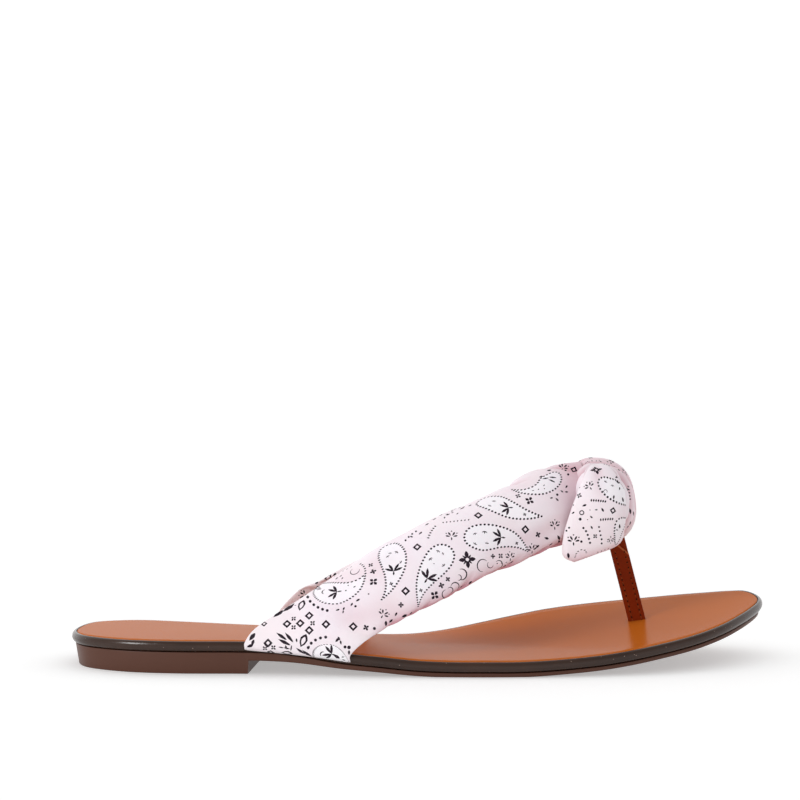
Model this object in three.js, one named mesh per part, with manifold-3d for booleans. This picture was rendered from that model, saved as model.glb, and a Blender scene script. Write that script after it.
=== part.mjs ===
// Flat thong sandal for a right foot: a moulded outsole with a low heel, an insole board with a
// rounded edge, a thin insole cover, two padded cloth straps that join in a knot, the knot's hanging
// tail, and a leather toe post. Millimetres, +X to the toe, +Y to the inner side, +Z up.

import * as THREE from 'three';
import { mergeVertices } from 'three/addons/utils/BufferGeometryUtils.js';
import Module from 'manifold-3d';

const wasm = await Module();
wasm.setup();

// Driving sizes
const heelEnd = 1.2;             // the heel's and the toe's end on the x scale of the tables below
const toeEnd = 250.8;
const gap = 0.3;
const recessGap = 0.4;           // between a strap and the board that it is let into
const boardThickness = 2.7;
const coverThickness = 0.7;
const coverInset = 1.8;          // cover edge to the outermost line of the board's edge
const heelBreastX = 67.5;        // front face of the heel, at mid width
const heelBreastSlant = 1.7;     // how far the inner end of that face lies ahead of the middle
const heelMiddleY = -14;         // middle and half width of the sole at that face
const heelHalfWidth = 22;
const slantSpread = 26;          // how far along the sole the sections follow that slant
const heelInset = 2.4;           // heel wall at the floor, in from the board's outermost line
const soleInset = 1.3;           // outsole wall, in from the board's outermost line
const centreLineY = -0.3;        // middle of the sole's width, so that the part is centred

// The sole in sections from heel to toe. lateral and medial are the outermost lines of the board's
// edge; seamLateral and seamMedial are the heights of the seam between outsole and board there;
// level is where the section starts to rise towards the inner side; sole is the outsole's thickness.
const soleSections = [
  { x: heelEnd, lateral: -6.0, medial: -6.0, seamLateral: 7.7, seamMedial: 7.7, level: -20, sole: 3.0 },
  { x: 5, lateral: -20.2, medial: 13.6, seamLateral: 7.7, seamMedial: 7.7, level: -20, sole: 3.0 },
  { x: 12, lateral: -27.4, medial: 19.4, seamLateral: 7.7, seamMedial: 7.7, level: -20, sole: 3.0 },
  { x: 25, lateral: -34.4, medial: 21.2, seamLateral: 7.7, seamMedial: 7.7, level: -20, sole: 3.0 },
  { x: 42, lateral: -37.5, medial: 16.0, seamLateral: 7.7, seamMedial: 7.7, level: -20, sole: 3.0 },
  { x: 62, lateral: -38.0, medial: 11.0, seamLateral: 7.7, seamMedial: 7.4, level: -20, sole: 2.9 },
  { x: 74, lateral: -38.7, medial: 9.8, seamLateral: 7.5, seamMedial: 7.0, level: -20, sole: 2.9 },
  { x: 84, lateral: -39.7, medial: 10.4, seamLateral: 6.4, seamMedial: 6.2, level: -18, sole: 2.4 },
  { x: 98, lateral: -41.6, medial: 13.4, seamLateral: 4.2, seamMedial: 4.3, level: -14, sole: 1.8 },
  { x: 112, lateral: -43.3, medial: 17.4, seamLateral: 3.0, seamMedial: 3.1, level: -8, sole: 1.7 },
  { x: 124, lateral: -44.4, medial: 22.6, seamLateral: 1.9, seamMedial: 2.7, level: -2, sole: 1.6 },
  { x: 136, lateral: -45.2, medial: 28.0, seamLateral: 1.5, seamMedial: 3.6, level: -2, sole: 1.6 },
  { x: 148, lateral: -45.5, medial: 33.2, seamLateral: 1.5, seamMedial: 5.4, level: -4, sole: 1.6 },
  { x: 160, lateral: -45.0, medial: 38.4, seamLateral: 1.5, seamMedial: 7.3, level: -9, sole: 1.6 },
  { x: 174, lateral: -43.5, medial: 42.8, seamLateral: 2.1, seamMedial: 9.4, level: -18, sole: 1.5 },
  { x: 190, lateral: -40.6, medial: 44.9, seamLateral: 3.4, seamMedial: 11.2, level: -29, sole: 1.5 },
  { x: 206, lateral: -36.2, medial: 43.9, seamLateral: 5.7, seamMedial: 12.9, level: -36, sole: 1.5 },
  { x: 222, lateral: -28.2, medial: 41.0, seamLateral: 8.5, seamMedial: 14.8, level: -28, sole: 1.5 },
  { x: 233, lateral: -19.5, medial: 37.6, seamLateral: 11.1, seamMedial: 16.1, level: -20, sole: 1.5 },
  { x: 241, lateral: -9.8, medial: 34.2, seamLateral: 13.5, seamMedial: 17.1, level: -10, sole: 1.5 },
  { x: 247, lateral: 0.6, medial: 29.4, seamLateral: 15.3, seamMedial: 17.7, level: 0, sole: 1.4 },
  { x: toeEnd, lateral: 15.0, medial: 15.0, seamLateral: 16.9, seamMedial: 16.9, level: 10, sole: 1.3 },
];
const riseShape = 1.35;          // 1 would make the rise to the inner side a straight line

// Smooth curve through one column of a table, over the angle of a half circle laid along x, so that
// both ends of the outline come out round.
const shareAt = (x) => THREE.MathUtils.clamp((x - heelEnd) / (toeEnd - heelEnd), 0, 1);
const turnAt = (x) => Math.acos(1 - 2 * shareAt(x));

function sectionValue(column, x) {
  const knots = soleSections.map((row) => turnAt(row.x));
  const values = soleSections.map((row) => row[column]);
  const at = turnAt(x);
  const last = knots.length - 1;
  let i = 0;
  while (i < last - 1 && at > knots[i + 1]) i += 1;
  const slope = (k) => {
    const a = Math.max(k - 1, 0);
    const b = Math.min(k + 1, last);
    return (values[b] - values[a]) / (knots[b] - knots[a]);
  };
  const width = knots[i + 1] - knots[i];
  const t = (at - knots[i]) / width;
  const t2 = t * t;
  const t3 = t2 * t;
  return (2 * t3 - 3 * t2 + 1) * values[i] + (t3 - 2 * t2 + t) * width * slope(i)
    + (3 * t2 - 2 * t3) * values[i + 1] + (t3 - t2) * width * slope(i + 1);
}

// Height of the seam surface between outsole and insole at any point of the plan.
function seamHeight(x, y) {
  const level = sectionValue('level', x);
  const medial = sectionValue('medial', x);
  const low = sectionValue('seamLateral', x);
  const high = sectionValue('seamMedial', x);
  const share = THREE.MathUtils.clamp((y - level) / Math.max(medial - level, 1), 0, 1);
  return low + (high - low) * share ** riseShape;
}

const slantAt = (y) => heelBreastSlant * (y - heelMiddleY) / heelHalfWidth;
const breastXAt = (y) => heelBreastX + slantAt(y);

// Bottom of the outsole: the floor under the heel, then the thin waist and forepart.
function soleBottom(x, y) {
  if (x < breastXAt(y)) return 0;
  return Math.max(seamHeight(x, y) - sectionValue('sole', x), 0);
}

// Stations along the sole: closer together at both round ends, and a close pair at the heel's front.
const stationCount = 30;
const breastStep = 0.25;
const breastClearance = 3.5;     // no other station lies nearer than this to the close pair

function soleStations() {
  const list = [];
  for (let k = 1; k < stationCount; k += 1) {
    const x = THREE.MathUtils.lerp(heelEnd, toeEnd, (1 - Math.cos(Math.PI * k / stationCount)) / 2);
    if (Math.abs(x - heelBreastX) > breastClearance) list.push({ x, side: 0 });
  }
  list.push({ x: heelBreastX, side: -1 });
  list.push({ x: heelBreastX, side: 1 });
  list.sort((a, b) => a.x - b.x || a.side - b.side);
  return list;
}

// The closed outline as points with outward normals: the heel's end, the outer side, the toe's end
// and the inner side back to the heel. Each outer point has its partner across the sole.
function soleOutline() {
  const stations = soleStations();
  const slantShare = (x) => Math.exp(-(((x - heelBreastX) / slantSpread) ** 2));
  const place = (column, station) => {
    const x = station.x + slantShare(station.x) * slantAt(sectionValue(column, station.x));
    return new THREE.Vector2(x + station.side * breastStep, sectionValue(column, x));
  };
  const heel = new THREE.Vector2(heelEnd, soleSections[0].lateral);
  const toe = new THREE.Vector2(toeEnd, soleSections[soleSections.length - 1].lateral);
  const outer = stations.map((station) => place('lateral', station));
  const inner = stations.map((station) => place('medial', station)).reverse();
  const points = [heel, ...outer, toe, ...inner];
  const count = points.length;
  const normals = points.map((point, i) => {
    const before = points[(i + count - 1) % count];
    const after = points[(i + 1) % count];
    const along = after.clone().sub(before).normalize();
    return new THREE.Vector2(along.y, -along.x);
  });
  return { points, normals, half: stations.length };
}

const outline = soleOutline();

// A closed mesh from rings of points that run from the middle of the bottom, over the edge, to the
// middle of the top. Each ring is an inset from the outline and a height rule; the two flat faces
// are filled by ribs across the sole.
const ribPoints = 7;

function plateSolid(rings) {
  const vertices = [];
  const faces = [];
  const { points, normals, half } = outline;
  const count = points.length;
  const addVertex = (x, y, z) => vertices.push(x, y, z) / 3 - 1;
  const ringIds = rings.map((ring) => points.map((point, i) => {
    const inset = typeof ring.inset === 'function' ? ring.inset(point.x, point.y) : ring.inset;
    const x = point.x - normals[i].x * inset;
    const y = point.y - normals[i].y * inset;
    return addVertex(x, y, ring.height(x, y));
  }));
  for (let r = 0; r + 1 < rings.length; r += 1) {
    for (let i = 0; i < count; i += 1) {
      const j = (i + 1) % count;
      faces.push(ringIds[r][i], ringIds[r][j], ringIds[r + 1][j]);
      faces.push(ringIds[r][i], ringIds[r + 1][j], ringIds[r + 1][i]);
    }
  }
  const fillFace = (ring, height, upward) => {
    const rows = [];
    for (let k = 1; k <= half; k += 1) {
      const a = ring[k];
      const b = ring[count - k];
      const row = [a];
      for (let m = 1; m < ribPoints; m += 1) {
        const t = m / ribPoints;
        const x = vertices[3 * a] * (1 - t) + vertices[3 * b] * t;
        const y = vertices[3 * a + 1] * (1 - t) + vertices[3 * b + 1] * t;
        row.push(addVertex(x, y, height(x, y)));
      }
      row.push(b);
      rows.push(row);
    }
    const push = (a, b, c) => (upward ? faces.push(a, b, c) : faces.push(a, c, b));
    for (let k = 0; k + 1 < rows.length; k += 1) {
      for (let m = 0; m < ribPoints; m += 1) {
        push(rows[k][m], rows[k + 1][m], rows[k + 1][m + 1]);
        push(rows[k][m], rows[k + 1][m + 1], rows[k][m + 1]);
      }
    }
    const heelTip = ring[0];
    const toeTip = ring[half + 1];
    for (let m = 0; m < ribPoints; m += 1) {
      push(heelTip, rows[0][m], rows[0][m + 1]);
      push(toeTip, rows[half - 1][m + 1], rows[half - 1][m]);
    }
  };
  fillFace(ringIds[0], rings[0].height, false);
  fillFace(ringIds[rings.length - 1], rings[rings.length - 1].height, true);
  return solidFrom(vertices, faces);
}

function solidFrom(vertices, faces) {
  const raw = new THREE.BufferGeometry();
  raw.setAttribute('position', new THREE.Float32BufferAttribute(vertices, 3));
  raw.setIndex(faces);
  return solidOf(raw);
}

function solidOf(geometry) {
  const bare = geometry.clone();
  bare.deleteAttribute('normal');
  bare.deleteAttribute('uv');
  const merged = mergeVertices(bare, 1e-4);
  return new wasm.Manifold(new wasm.Mesh({
    numProp: 3,
    vertProperties: new Float32Array(merged.getAttribute('position').array),
    triVerts: new Uint32Array(merged.getIndex().array),
  }));
}

function geometryOf(solid) {
  const mesh = solid.getMesh();
  const geometry = new THREE.BufferGeometry();
  geometry.setAttribute('position', new THREE.Float32BufferAttribute(mesh.vertProperties, 3));
  geometry.setIndex(new THREE.Uint32BufferAttribute(mesh.triVerts, 1));
  const split = geometry.toNonIndexed();
  split.computeVertexNormals();
  return split;
}

const aboveSeam = (rise) => (x, y) => seamHeight(x, y) + rise;

// Outsole and heel, moulded as one: the wall leans in towards the floor under the heel.
const lowerEdge = { inset: 0.5, up: 0.45 };   // bevel along the floor
const upperEdge = { inset: 0.3, up: 0.5 };    // bevel along the seam
const foreWallLean = 0.1;

function outsoleSolid() {
  const underHeel = (x, y) => x < breastXAt(y);
  const floorInset = (x, y) => (underHeel(x, y) ? heelInset : soleInset + foreWallLean);
  return plateSolid([
    { inset: (x, y) => floorInset(x, y) + lowerEdge.inset, height: soleBottom },
    { inset: floorInset, height: (x, y) => soleBottom(x, y) + lowerEdge.up },
    { inset: soleInset, height: aboveSeam(-upperEdge.up) },
    { inset: soleInset + upperEdge.inset, height: seamHeight },
  ]);
}

// Insole board: a stiff plate with a rounded edge that stands up round the cover. Its edge in
// section, from the seam over the rim to the floor of the cover's recess.
const boardFloor = gap + boardThickness;
const boardEdge = [
  { inset: 1.5, up: gap },
  { inset: 0.5, up: 0.75 },
  { inset: 0, up: 1.9 },
  { inset: 0.3, up: 3.2 },
  { inset: 1.0, up: 3.85 },
  { inset: coverInset - gap, up: 3.85 },
  { inset: coverInset - gap + 0.05, up: boardFloor },
];

// Insole cover: the thin sheet that the foot stands on, let into the board's raised edge.
const coverEdge = [
  { inset: coverInset + 0.1, up: boardFloor + gap },
  { inset: coverInset, up: boardFloor + gap + coverThickness / 2 },
  { inset: coverInset + 0.35, up: boardFloor + gap + coverThickness },
];

const seamPlate = (edge) => plateSolid(edge.map(({ inset, up }) => ({ inset, height: aboveSeam(up) })));

// Straps. A strap is a ribbon of padded cloth with a front edge, a middle and a rear edge. It starts
// under the board, turns up round the board's edge and rises over the foot to the knot.
// Turns round the board's edge: out is beyond the board's outermost line, up is above the seam.
const edgeTurns = [
  { out: -9.0, up: 1.1, thick: 1.2 },
  { out: -2.6, up: 1.1, thick: 1.2 },
  { out: -0.2, up: 1.25, thick: 1.2 },
  { out: 0.85, up: 2.1, thick: 1.2 },
  { out: 1.1, up: 3.4, thick: 1.3 },
];

// Free rows, from the board's edge to the knot. bulge pushes the middle out; thick is the padding.
const lateralRows = [
  { front: [104.4, -43.0, 10.8], rear: [67.6, -37.6, 15.6], bulge: 0.5, thick: 1.8 },
  { front: [108.5, -41.9, 13.6], rear: [76.0, -34.2, 21.0], bulge: 1.8, thick: 2.6 },
  { front: [115.0, -40.0, 17.2], rear: [88.2, -28.0, 28.2], bulge: 3.0, thick: 4.2 },
  { front: [123.5, -37.0, 21.2], rear: [104.4, -21.5, 38.2], bulge: 3.6, thick: 6.0 },
  { front: [134.5, -32.6, 26.0], rear: [120.5, -16.0, 47.0], bulge: 3.8, thick: 7.6 },
  { front: [147.0, -26.5, 32.0], rear: [136.5, -11.6, 53.9], bulge: 3.6, thick: 8.4 },
  { front: [160.5, -18.5, 36.8], rear: [153.0, -6.6, 60.8], bulge: 3.2, thick: 8.6 },
  { front: [173.0, -10.0, 41.4], rear: [168.5, -1.6, 68.0], bulge: 2.4, thick: 8.8 },
  { front: [185.0, -3.0, 44.0], rear: [183.0, 3.0, 71.2], bulge: 1.0, thick: 8.6 },
];
const medialRows = [
  { front: [107.4, 17.2, 10.6], rear: [74.2, 8.6, 15.8], bulge: 0.5, thick: 1.8 },
  { front: [111.5, 18.4, 13.4], rear: [81.0, 7.4, 21.4], bulge: 1.6, thick: 2.6 },
  { front: [118.5, 20.6, 16.6], rear: [91.5, 7.2, 28.4], bulge: 2.6, thick: 4.2 },
  { front: [127.5, 23.2, 20.6], rear: [105.5, 8.0, 36.0], bulge: 3.2, thick: 6.0 },
  { front: [138.0, 25.0, 25.4], rear: [121.0, 9.4, 43.6], bulge: 3.4, thick: 7.4 },
  { front: [149.5, 25.2, 30.6], rear: [137.0, 11.0, 50.4], bulge: 3.2, thick: 8.2 },
  { front: [161.5, 23.2, 35.4], rear: [153.0, 12.0, 57.0], bulge: 2.8, thick: 8.4 },
  { front: [173.0, 19.6, 39.8], rear: [168.5, 12.0, 63.4], bulge: 2.2, thick: 8.4 },
  { front: [185.0, 13.0, 43.4], rear: [184.0, 9.0, 68.0], bulge: 1.0, thick: 8.0 },
];
const lateralStrap = {
  column: 'lateral', side: -1, frontX: 101.4, midX: 84, rearX: 64.6, turns: edgeTurns, rows: lateralRows,
};
const medialStrap = {
  column: 'medial', side: 1, frontX: 106.0, midX: 89, rearX: 71.5, turns: edgeTurns, rows: medialRows,
};

// A point near the board's edge: out from its outermost line and up from the seam.
function edgePoint(strap, x, turn) {
  const step = 1;
  const y = sectionValue(strap.column, x);
  const rise = sectionValue(strap.column, x + step) - sectionValue(strap.column, x - step);
  const slope = rise / (2 * step);
  const normal = new THREE.Vector2(-slope, 1).normalize().multiplyScalar(strap.side);
  const px = x + normal.x * turn.out;
  const py = y + normal.y * turn.out;
  return new THREE.Vector3(px, py, seamHeight(px, py) + turn.up);
}

// Three control curves of a strap and its thickness along them.
function strapRails(strap) {
  const front = [];
  const middle = [];
  const rear = [];
  const thick = [];
  strap.turns.forEach((turn) => {
    front.push(edgePoint(strap, strap.frontX, turn));
    middle.push(edgePoint(strap, strap.midX, turn));
    rear.push(edgePoint(strap, strap.rearX, turn));
    thick.push(turn.thick);
  });
  strap.rows.forEach((row, i) => {
    const f = new THREE.Vector3(...row.front);
    const r = new THREE.Vector3(...row.rear);
    const next = strap.rows[Math.min(i + 1, strap.rows.length - 1)];
    const last = strap.rows[Math.max(i - 1, 0)];
    const along = new THREE.Vector3(...next.front).add(new THREE.Vector3(...next.rear))
      .sub(new THREE.Vector3(...last.front)).sub(new THREE.Vector3(...last.rear));
    const out = along.cross(r.clone().sub(f)).normalize().multiplyScalar(-strap.side * row.bulge);
    front.push(f);
    middle.push(f.clone().add(r).multiplyScalar(0.5).add(out));
    rear.push(r);
    thick.push(row.thick);
  });
  return { front, middle, rear, thick };
}

// Loft of a padded ribbon through three control curves: closed cross-sections joined row by row.
const acrossPoints = 8;
const paddingPower = 0.8;        // below 1 the padding fills the section's corners
const slopeStep = 0.004;         // shares of the length and of half the width, for measuring slopes
const slopeStepAcross = 0.02;
const edgeShare = 0.98;          // the surface's direction is read just inside both edges

const roundShare = (value, power) => Math.sign(value) * Math.abs(value) ** power;

function ribbonSolid(rails, side, samples, grow) {
  const curves = [rails.front, rails.middle, rails.rear].map((rail) => {
    const points = rail.map((point) => point.clone());
    points[0].addScaledVector(points[0].clone().sub(points[1]).normalize(), grow);
    return new THREE.CatmullRomCurve3(points, false, 'centripetal');
  });
  const rows = rails.thick.length - 1;
  const thickAt = (v) => {
    const at = v * rows;
    const i = Math.min(Math.floor(at), rows - 1);
    return THREE.MathUtils.lerp(rails.thick[i], rails.thick[i + 1], at - i);
  };
  const surface = (u, v) => {
    const [f, m, r] = curves.map((curve) => curve.getPoint(THREE.MathUtils.clamp(v, 0, 1)));
    f.multiplyScalar(u * (u - 1) / 2);
    m.multiplyScalar(1 - u * u);
    r.multiplyScalar(u * (u + 1) / 2);
    return f.add(m).add(r);
  };
  const normalAt = (u, v) => {
    const acrossWay = surface(u + slopeStepAcross, v).sub(surface(u - slopeStepAcross, v));
    const ahead = surface(u, Math.min(v + slopeStep, 1));
    const alongWay = ahead.sub(surface(u, Math.max(v - slopeStep, 0)));
    return alongWay.cross(acrossWay).normalize().multiplyScalar(-side);
  };
  const vertices = [];
  const faces = [];
  const size = 2 * acrossPoints;
  samples.forEach((v) => {
    const half = thickAt(v) / 2 + grow;
    for (let k = 0; k < size; k += 1) {
      const angle = 2 * Math.PI * k / size;
      const u = Math.cos(angle);
      const width = surface(1, v).distanceTo(surface(-1, v));
      const reach = 1 + 2 * grow / width;
      const lift = roundShare(Math.sin(angle), paddingPower) * half;
      const spot = surface(u * reach, v).addScaledVector(normalAt(u * edgeShare, v), lift);
      vertices.push(spot.x, spot.y, spot.z);
    }
  });
  const rings = samples.length;
  const flip = side > 0;
  const push = (a, b, c) => (flip ? faces.push(a, c, b) : faces.push(a, b, c));
  for (let r = 0; r + 1 < rings; r += 1) {
    for (let k = 0; k < size; k += 1) {
      const a = r * size + k;
      const b = r * size + (k + 1) % size;
      push(a, b, b + size);
      push(a, b + size, a + size);
    }
  }
  const closeEnd = (r, forward) => {
    const base = r * size;
    for (let k = 0; k < acrossPoints; k += 1) {
      const upperNear = base + k;
      const upperFar = base + k + 1;
      const lowerFar = base + size - k - 1;
      const lowerNear = base + (size - k) % size;
      const triangles = [[upperNear, upperFar, lowerFar], [upperNear, lowerFar, lowerNear]];
      triangles.filter((corners) => new Set(corners).size === 3).forEach(([a, b, c]) => {
        if (forward) push(a, b, c);
        else push(a, c, b);
      });
    }
  };
  closeEnd(0, false);
  closeEnd(rings - 1, true);
  return solidFrom(vertices, faces);
}

// Where a ribbon is sampled, as shares of its length: every row, and midway between the free rows.
function ribbonSamples(ribbon, rails, lastRow) {
  const rows = rails.thick.length - 1;
  const list = [];
  for (let i = 0; i <= lastRow; i += 1) {
    list.push(i / rows);
    if (i >= ribbon.turns.length && i < lastRow) list.push((i + 0.5) / rows);
  }
  return list;
}

// Knot: cloth wrapped round the straps' ends, over the top of the toe post. Its rings stand round a
// line across the sole, from the outer to the inner side. place is the ring's share of the way, sway
// how far it swings to and fro on its way round, and sunk how deep a fold's trough lies there.
const knot = {
  outerY: -9.6, innerY: 24.0, middleX: 188.4, middleZ: 56.8, halfLength: 15.4, halfHeight: 16.0,
};
const knotRings = [
  { place: 0.02, sway: 0.0, sunk: 0.0 },
  { place: 0.10, sway: 0.0, sunk: 0.0 },
  { place: 0.20, sway: 0.02, sunk: 0.0 },
  { place: 0.30, sway: 0.035, sunk: 1.1 },
  { place: 0.37, sway: 0.04, sunk: 0.0 },
  { place: 0.45, sway: 0.045, sunk: 1.3 },
  { place: 0.52, sway: 0.045, sunk: 0.0 },
  { place: 0.60, sway: 0.04, sunk: 1.1 },
  { place: 0.67, sway: 0.04, sunk: 0.0 },
  { place: 0.75, sway: 0.03, sunk: 1.2 },
  { place: 0.83, sway: 0.02, sunk: 0.0 },
  { place: 0.91, sway: 0.0, sunk: 0.0 },
  { place: 0.98, sway: 0.0, sunk: 0.0 },
];
const knotSwayPhase = 0.9;       // where on the way round the rings swing furthest, in radians
const knotSquareness = 0.86;     // below 1 the rings are fuller than an ellipse
const knotFullness = 0.6;        // below 1 the knot stays thick towards both ends
const roundPoints = 24;

function knotSolid(grow) {
  const vertices = [];
  const faces = [];
  const middleY = (knot.outerY + knot.innerY) / 2;
  const halfY = (knot.innerY - knot.outerY) / 2 + grow;
  knotRings.forEach((ring) => {
    for (let k = 0; k < roundPoints; k += 1) {
      const angle = 2 * Math.PI * k / roundPoints;
      const place = ring.place + ring.sway * Math.sin(angle + knotSwayPhase);
      const turn = Math.PI * (place - 0.5);
      const share = Math.cos(turn) ** knotFullness;
      const reachX = knot.halfLength * share - ring.sunk + grow;
      const reachZ = knot.halfHeight * share - ring.sunk + grow;
      vertices.push(
        knot.middleX + reachX * roundShare(Math.cos(angle), knotSquareness),
        middleY + halfY * Math.sin(turn),
        knot.middleZ + reachZ * roundShare(Math.sin(angle), knotSquareness),
      );
    }
  });
  const rings = knotRings.length;
  for (let r = 0; r + 1 < rings; r += 1) {
    for (let k = 0; k < roundPoints; k += 1) {
      const a = r * roundPoints + k;
      const b = r * roundPoints + (k + 1) % roundPoints;
      faces.push(a, b + roundPoints, b);
      faces.push(a, a + roundPoints, b + roundPoints);
    }
  }
  const closeEnd = (r, side) => {
    const hub = vertices.push(knot.middleX, middleY + side * halfY, knot.middleZ) / 3 - 1;
    for (let k = 0; k < roundPoints; k += 1) {
      const a = r * roundPoints + k;
      const b = r * roundPoints + (k + 1) % roundPoints;
      if (side > 0) faces.push(b, a, hub);
      else faces.push(a, b, hub);
    }
  };
  closeEnd(0, -1);
  closeEnd(rings - 1, 1);
  return solidFrom(vertices, faces);
}

// Toe post: a folded band of leather that leans back to the knot, and a foot under the board.
const postFoot = new THREE.Vector3(205.6, 10.5, 9.6);   // where its axis crosses the seam
const postLean = THREE.MathUtils.degToRad(14.5);
const postWidth = 6.2;
const postFold = 2.8;            // both layers of the fold
const postLength = 50;
const postStart = 0.4;           // lower end of the band, along its own line from the seam
const footLength = 14;
const footWidth = 9;
const footThickness = 1.2;
const footRise = 1.15;           // middle of the foot above the seam

function postPart(width, depth, from, to) {
  const box = new THREE.BoxGeometry(width, depth, to - from);
  box.translate(0, 0, (from + to) / 2);
  box.rotateY(-postLean);
  box.translate(postFoot.x, postFoot.y, postFoot.z);
  return solidOf(box);
}

// The foot lies along the seam, which climbs towards the toe and the inner side.
function postFootPart(grow) {
  const { x, y } = postFoot;
  const sizes = [footLength, footWidth, footThickness].map((size) => size + 2 * grow);
  const foot = new THREE.BoxGeometry(...sizes);
  const reach = 5;
  const climbX = seamHeight(x + reach, y) - seamHeight(x - reach, y);
  const climbY = seamHeight(x, y + reach) - seamHeight(x, y - reach);
  foot.rotateX(Math.atan2(climbY, 2 * reach));
  foot.rotateY(-Math.atan2(climbX, 2 * reach));
  foot.translate(x, y, seamHeight(x, y) + footRise);
  return solidOf(foot);
}

function postSolid(grow) {
  const stem = postPart(postWidth + 2 * grow, postFold + 2 * grow, postStart, postLength + grow);
  return stem.add(postFootPart(grow));
}

// Hanging tail of the knot: the cloth's free end, folded flat, over the outer side of the knot. Its
// top lies under the wrap, and is cut back from it here.
const tailRows = [
  { front: [196.6, -9.2, 41.6], rear: [178.0, -13.8, 36.8], bulge: 1.0, thick: 2.0 },
  { front: [199.6, -9.4, 46.8], rear: [177.0, -13.1, 46.4], bulge: 1.8, thick: 2.6 },
  { front: [201.2, -9.1, 54.0], rear: [179.4, -12.1, 55.2], bulge: 2.4, thick: 2.8 },
  { front: [200.2, -8.1, 61.8], rear: [182.2, -10.7, 62.6], bulge: 2.2, thick: 2.6 },
  { front: [197.2, -5.8, 67.8], rear: [184.4, -7.7, 68.4], bulge: 1.2, thick: 2.0 },
  { front: [194.0, -3.2, 69.0], rear: [186.6, -4.2, 69.6], bulge: 0.4, thick: 1.6 },
];
const tail = { side: -1, turns: [], rows: tailRows };

function tailSolid() {
  const rails = strapRails(tail);
  return ribbonSolid(rails, tail.side, ribbonSamples(tail, rails, tailRows.length - 1), 0);
}

function strapSolid(strap) {
  const rails = strapRails(strap);
  return ribbonSolid(rails, strap.side, ribbonSamples(strap, rails, rails.thick.length - 1), 0);
}

// The strap's way through the board, up to the second free row.
function strapRecess(strap) {
  const rails = strapRails(strap);
  return ribbonSolid(rails, strap.side, ribbonSamples(strap, rails, strap.turns.length + 1), recessGap);
}

const postSlot = postSolid(gap);
const upper = knotSolid(0).add(strapSolid(lateralStrap)).add(strapSolid(medialStrap)).subtract(postSlot);
const recesses = strapRecess(lateralStrap).add(strapRecess(medialStrap));
const board = seamPlate(boardEdge).subtract(recesses).subtract(postSlot);

const colours = {
  sole: { color: 0x5d4136, roughness: 0.45 },
  edge: { color: 0x3a2724, roughness: 0.3 },
  leather: { color: 0xa8623f, roughness: 0.45 },
  cloth: { color: 0xf1e6e8, roughness: 0.7 },
  strip: { color: 0x7a2c08, roughness: 0.5 },
};

const pieces = [
  { name: 'outsole', solid: outsoleSolid(), look: colours.sole },
  { name: 'insole_board', solid: board, look: colours.edge },
  { name: 'insole_cover', solid: seamPlate(coverEdge).subtract(postSlot), look: colours.leather },
  { name: 'upper', solid: upper, look: colours.cloth },
  { name: 'knot_tail', solid: tailSolid().subtract(knotSolid(gap)), look: colours.cloth },
  { name: 'toe_post', solid: postSolid(0), look: colours.strip },
];

const shoe = new THREE.Group();
pieces.forEach((piece) => {
  const material = new THREE.MeshStandardMaterial({ ...piece.look, metalness: 0 });
  const mesh = new THREE.Mesh(geometryOf(piece.solid), material);
  mesh.name = piece.name;
  mesh.position.set(-(heelEnd + toeEnd) / 2, -centreLineY, 0);
  shoe.add(mesh);
});

export default shoe;
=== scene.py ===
import math

import bpy
import numpy as np
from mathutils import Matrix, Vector
from mathutils.bvhtree import BVHTree
from mathutils.geometry import barycentric_transform, delaunay_2d_cdt


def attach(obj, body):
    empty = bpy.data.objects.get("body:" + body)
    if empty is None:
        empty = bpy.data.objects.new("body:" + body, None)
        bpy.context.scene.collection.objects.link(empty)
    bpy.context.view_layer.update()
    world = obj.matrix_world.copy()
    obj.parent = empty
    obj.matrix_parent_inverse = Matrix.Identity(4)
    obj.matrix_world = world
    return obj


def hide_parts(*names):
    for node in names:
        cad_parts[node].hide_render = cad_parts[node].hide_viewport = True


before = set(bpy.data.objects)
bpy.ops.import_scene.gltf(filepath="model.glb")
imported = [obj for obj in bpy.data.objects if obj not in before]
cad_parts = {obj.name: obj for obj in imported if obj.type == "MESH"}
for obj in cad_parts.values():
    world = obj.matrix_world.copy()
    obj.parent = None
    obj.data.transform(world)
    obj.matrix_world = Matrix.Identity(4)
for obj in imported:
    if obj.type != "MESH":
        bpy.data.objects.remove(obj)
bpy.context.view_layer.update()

sole = {
    "heelEnd": 1.2,          # mm, ends of the sole on its own scale
    "toeEnd": 250.8,
    "centreLine": -0.3,
    "breastX": 67.5,         # front face of the heel, at mid width
    "breastMiddle": -14.0,   # y of that place, and half the heel's width there
    "breastHalf": 22.0,
    "breastSlant": 1.7,
    "breastWidth": 26.0,     # how far along the sole that slant is felt
    "breastStep": 0.2,       # half the step of the outline across the front face
    "breastClear": 1.2,      # no other points of the outline this near to it
    "heelInset": 2.4,
    "soleInset": 1.3,
    "footInset": 0.1,        # the forepart's wall leans in this much
    "riseShape": 1.35,
    "stations": 170,         # points along each side
    "ribs": 22,              # strips across the flat faces
    # steps of each edge, in from the outline and up: the outsole's lower edge counts from its bottom
    # face, the others from the seam
    "lowerEdge": ((0.55, 0), (0.2, 0.08), (0.04, 0.25), (0, 0.5)),
    "upperEdge": ((0, -0.35), (0.08, -0.12), (0.3, 0)),
    "boardEdge": ((1.5, 0.3), (0.95, 0.4), (0.5, 0.75), (0.18, 1.25), (0.0, 1.9), (0.06, 2.6),
                  (0.26, 3.15), (0.58, 3.6), (1.0, 3.85), (1.5, 3.85), (1.55, 3.0)),
    "coverEdge": ((1.9, 3.3), (1.8, 3.65), (1.88, 3.85), (2.15, 4.0)),
    "sharpAngles": (38, 50, 60),       # degrees, for the outsole, the board and the cover
}

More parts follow.
